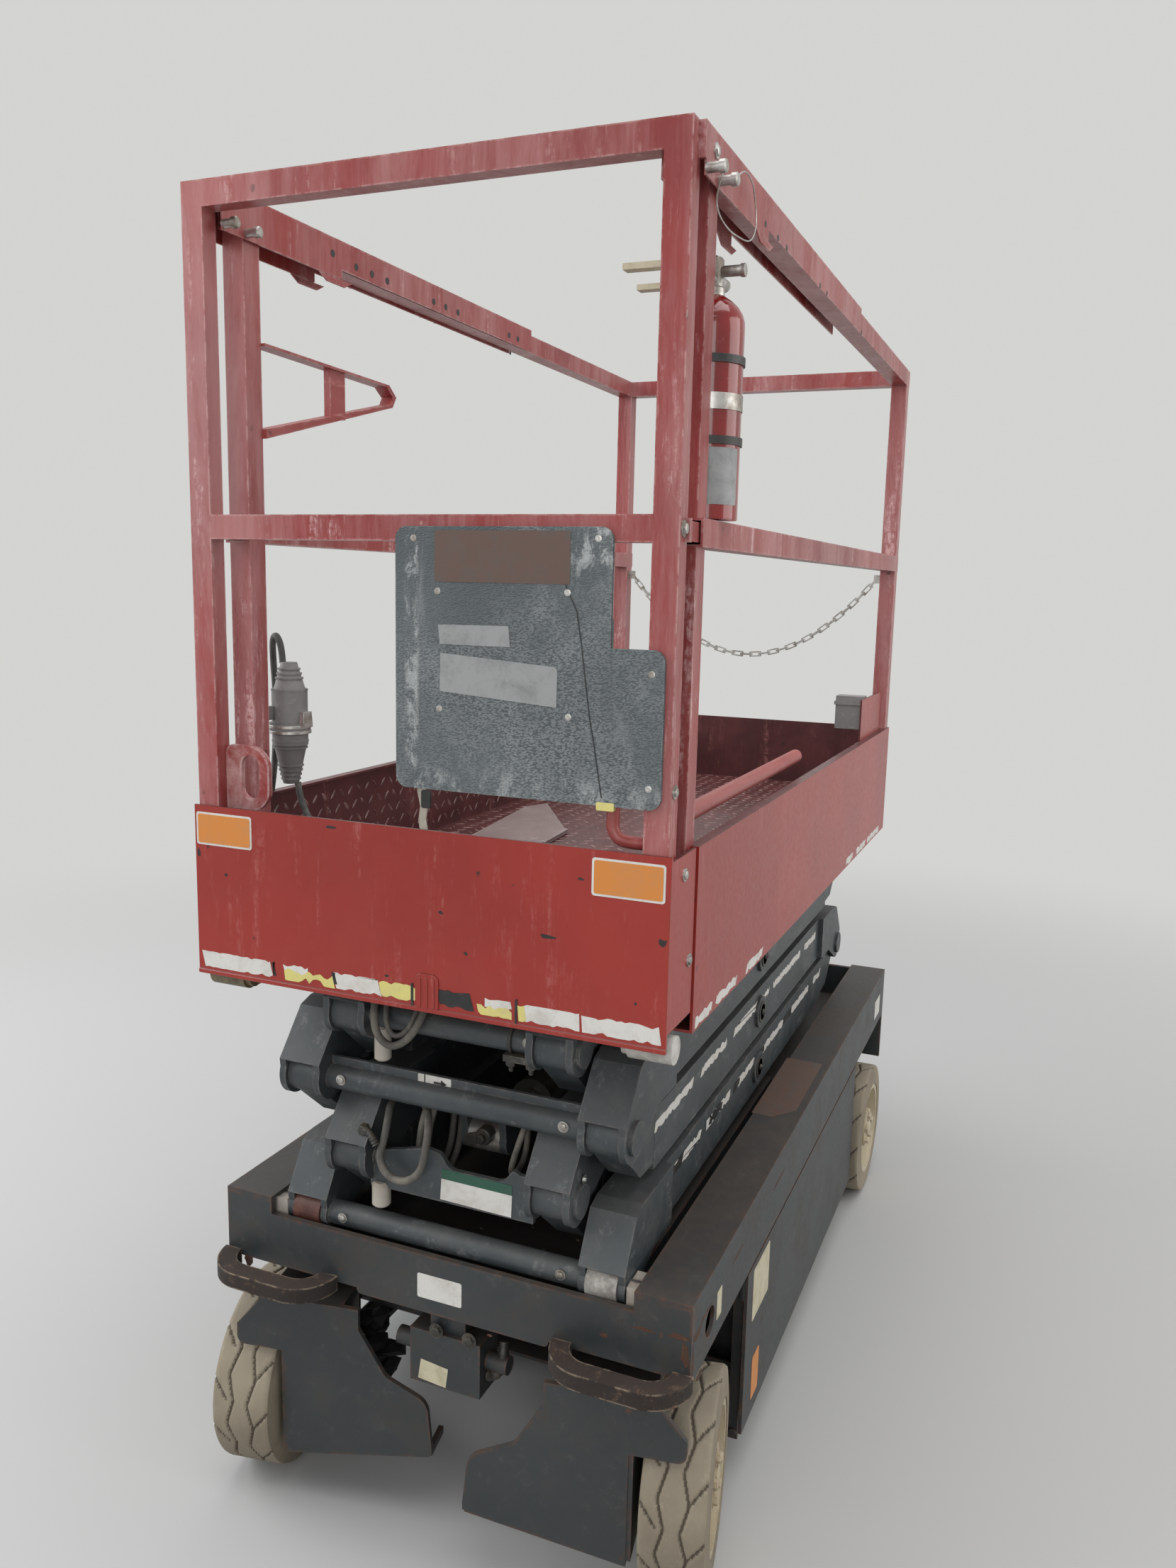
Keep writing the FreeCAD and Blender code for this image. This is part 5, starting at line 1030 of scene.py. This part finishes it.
def base_front():
    bolts = bmesh.new()
    for y in (-0.014, 0.042):
        bolt(bolts, (0.781, y, 0.345), "x", 1, 0.008, 0.006)
    piece("front_bolts", "root", bolts, GREASE)
    elbow = bmesh.new()
    hose(elbow, flowing([(752, 50, 276), (756, 66, 278), (757, 80, 290), (752, 84, 310), (744, 82, 332)]),
        0.0075, ribs=0.0012, rib_step=5)
    turned(elbow, [(0.04, 0.011), (0.058, 0.011), (0.06, 0.009)], (0.752, 0.276), "y", 6)
    piece("steering_elbow", "root", elbow, GREASE)
    bits = bmesh.new()
    for _ in range(46):
        x = 0.56 + 0.2 * rng.random()
        y = -0.21 + 0.42 * rng.random()
        size = 0.0015 + 0.0045 * rng.random() ** 2
        chunk(bits, (x, y, 0.419 + size * 0.3), size)
    piece("deck_dirt", "root", bits, RUSTY, smooth=False)
    mass = bmesh.new()
    for _ in range(26):
        spot = (0.664 + 0.03 * rng.random(), -0.214 + 0.058 * rng.random(), 0.16 + 0.105 * rng.random())
        chunk(mass, spot, 0.01 + 0.014 * rng.random())
    piece("torn_rubber", "right_knuckle", mass, ROUGH_RUBBER, smooth=False)


def chunk(shape, centre, size):
    """A small lump with an uneven outline."""
    made = bmesh.ops.create_icosphere(shape, subdivisions=1, radius=size)
    for v in made["verts"]:
        v.co *= 0.6 + 0.8 * rng.random()
        v.co.z *= 0.6
        v.co += Vector(centre)


base_front()

FRONT_RUST = (
    (372, 452, 34, 11), (381, 428, 12, 40), (360, 384, 20, 16),
    (262, 424, 14, 8), (190, 383, 18, 9), (-176, 411, 5, 5),
    (-352, 380, 18, 22), (318, 449, 40, 6), (82, 372, 10, 5))
film("beam_rust", "root", [scrap(spot) for spot in FRONT_RUST], RUST_MARK, 0.793, 0.0002)
SIDE_RUST = (
    (768, 446, 44, 14), (784, 410, 12, 58), (722, 453, 60, 6),
    (752, 372, 30, 12), (560, 454, 70, 5), (300, 453, 90, 6))
for side, way in SIDES:
    side_film("rail_rust_" + way, "root", [scrap(spot) for spot in SIDE_RUST], RUST_MARK,
        BASE_FACE, side, 0.0002)


# Extinguisher: neck with its ports, rounded shell, band and a blank label

def bottle_fittings():
    x0, y0, radius = 0.702, 0.336, 0.0416
    neck = bmesh.new()
    turned(neck, [(1.823, 0.0145), (1.832, 0.0145), (1.834, 0.0125), (1.866, 0.0125), (1.869, 0.01),
        (1.869, 0.0)], (x0, y0), "z", 24)
    turned(neck, [(y0 + 0.008, 0.0068), (y0 + 0.034, 0.0068), (y0 + 0.036, 0.0082), (y0 + 0.041, 0.0082),
        (y0 + 0.041, 0.0)], (x0, 1.852), "y", 20)
    turned(neck, [(x0 + 0.01, 0.01), (x0 + 0.022, 0.01), (x0 + 0.024, 0.009), (x0 + 0.024, 0)],
        (y0 - 0.002, 1.843), "x", 22)
    piece("bottle_neck", "platform", neck, STEEL)
    shell = bmesh.new()
    turned(shell, [(1.5478, 0.038), (1.5492, radius), (1.778, radius), (1.79, 0.0413), (1.8, 0.0385),
        (1.809, 0.0325), (1.816, 0.025), (1.821, 0.0175), (1.823, 0.015)], (x0, y0), "z", 48)
    piece("bottle_shell", "platform", shell, BOTTLE)
    band = bmesh.new()
    arc_strip(band, x0, y0, radius + 0.0002, -180, 180, 1.682, 1.702, 0.001)
    piece("bottle_band", "platform", band, STEEL)
    label = bmesh.new()
    arc_strip(label, x0, y0, radius + 0.0002, -8, 82, 1.566, 1.636, 0.0003)
    piece("bottle_label", "platform", label, SILVER)


def arc_strip(shape, x0, y0, radius, start, end, low, high, thick):
    """A band round an upright axis, from one angle to another."""
    count = max(8, int((end - start) / 8))
    closed = end - start >= 359
    rings = []
    for i in range(count + (0 if closed else 1)):
        t = radians(start + (end - start) * i / count)
        section = (radius, low), (radius + thick, low), (radius + thick, high), (radius, high)
        rings.append([shape.verts.new((x0 + r * cos(t), y0 + r * sin(t), z)) for r, z in section])
    skin(shape, rings + rings[:1] if closed else rings)
    if not closed:
        shape.faces.new(rings[0])
        shape.faces.new(rings[-1])


bottle_fittings()


# Loose sheet on the deck, and a strap at the panel's foot

def loose_things():
    sheet_outline = [(0.237, -0.251), (0.251, -0.091), (0.123, -0.102), (-0.139, -0.265), (-0.08, -0.29)]
    plate = bmesh.new()
    prism(plate, sheet_outline, 0.9836, 0.9858, "z")
    prism(plate, [(0.252, -0.095), (0.254, -0.089), (0.124, -0.1), (0.122, -0.106)], 0.9836, 0.992, "z")
    piece("loose_plate", "extension", plate, LOOSE_SHEET, 0.0006)
    strap = [(0.002, 1.2), (0.016, 1.2), (0.021, 1.17), (0.018, 1.15), (0.026, 1.11), (0.014, 1.108),
        (0.006, 1.148), (0.009, 1.168)]
    block("panel_strap", "extension", [strap], NYLON, 0.8655, 0.8672, bevel=0.0004)
    clip = rounded(0.011, 0.025, 1.166, 1.19, 0.003)
    block("panel_clip", "extension", [clip], BLACK, 0.864, 0.869, bevel=0.001)


loose_things()


# Rings, latch and ribbed gland on the cable connector

def connector_trim():
    middle = (0.713, -0.312)
    bands = bmesh.new()
    for z in (1.228, 1.2365):
        profile = [(z, 0.0306), (z, 0.0322), (z + 0.0045, 0.0322), (z + 0.0045, 0.0306)]
        turned(bands, profile, middle, "z", 32)
    latch = [(0.7, 1.238), (0.726, 1.238), (0.723, 1.262), (0.703, 1.262)]
    prism(bands, latch, middle[1] + 0.0255, middle[1] + 0.033, "y")
    piece("connector_bands", "platform", bands, STEEL, 0.0004)
    rings = bmesh.new()
    for z, radius in ((1.292, 0.0276), (1.214, 0.0278), (1.204, 0.0262), (1.176, 0.0198), (1.169, 0.0182),
            (1.162, 0.0166), (1.155, 0.015), (1.31, 0.0212), (1.317, 0.0192), (1.324, 0.0172)):
        turned(rings, [(z, radius - 0.004), (z + 0.0008, radius), (z + 0.0032, radius),
            (z + 0.004, radius - 0.004)], middle, "z", 32)
    piece("connector_rings", "platform", rings, WORN_PLASTIC)


connector_trim()


# Floor and light

BACKDROP, BACKDROP_STRENGTH = (800, 800, 780), 0.82


def direct_rays(n):
    """1 for what the camera sees, straight, mirrored or through glass, and 0 for the light itself."""
    path = n.add("LightPath", {}).outputs
    share = path["Is Camera Ray"]
    for kind in ("Is Glossy Ray", "Is Transmission Ray"):
        share = n.add("Math", {0: share, 1: path[kind]}, operation="MAXIMUM").outputs[0]
    return share


def add_stage():
    mesh = bpy.data.meshes.new("floor")
    half = 14
    corners = [(-half, -half, 0), (half, -half, 0), (half, half, 0), (-half, half, 0)]
    mesh.from_pydata(corners, [], [(0, 1, 2, 3)])
    floor = added("floor", mesh)
    n = Paint("floor_pale")
    mesh.materials.append(n.finish((420, 416, 405), 0.8, specular=0.15))
    distance = n.add("VectorMath", {0: n.place}, operation="LENGTH").outputs["Value"]
    far = n.times(n.ramp(distance, 1.7, 4.6), direct_rays(n))
    glow = n.add("Emission", {"Color": BACKDROP, "Strength": BACKDROP_STRENGTH})
    blend = n.add("MixShader", {0: far, 1: n.shader.outputs[0], 2: glow.outputs[0]})
    n.put(n.out.inputs["Surface"], blend.outputs[0])


def lamp(name, place, target, size, power, colour=(1, 1, 1)):
    data = bpy.data.lights.new(name, "AREA")
    data.shape = "RECTANGLE"
    data.size, data.size_y = size
    data.energy = power
    data.color = colour
    light = added(name, data)
    light.location = place
    light.rotation_mode = "QUATERNION"
    light.rotation_quaternion = (Vector(target) - Vector(place)).to_track_quat("-Z", "Y")


def add_world():
    world = bpy.data.worlds.new("studio")
    bpy.context.scene.world = world
    n = Nodes(world)
    soft = n.add("Background", {"Color": (860, 900, 950), "Strength": 0.5})
    seen = n.add("Background", {"Color": BACKDROP, "Strength": BACKDROP_STRENGTH})
    mixer = n.add("MixShader", {0: direct_rays(n), 1: soft.outputs[0], 2: seen.outputs[0]})
    n.add("OutputWorld", {"Surface": mixer.outputs[0]})


add_stage()
add_world()
lamp("window_left", (1.5, -4.2, 2.9), (0, 0, 1.0), (4.5, 3.0), 200, (0.96, 0.98, 1.0))
lamp("roof", (0.6, 0.8, 8.2), (0, 0, 0.8), (7.6, 7.6), 480)
lamp("window_right", (-0.8, 4.6, 2.6), (0, 0, 1.0), (4.0, 3.0), 88, (1.0, 0.98, 0.95))
lamp("front_fill", (4.6, 1.0, 2.2), (0.3, 0, 0.9), (3.0, 2.4), 60)
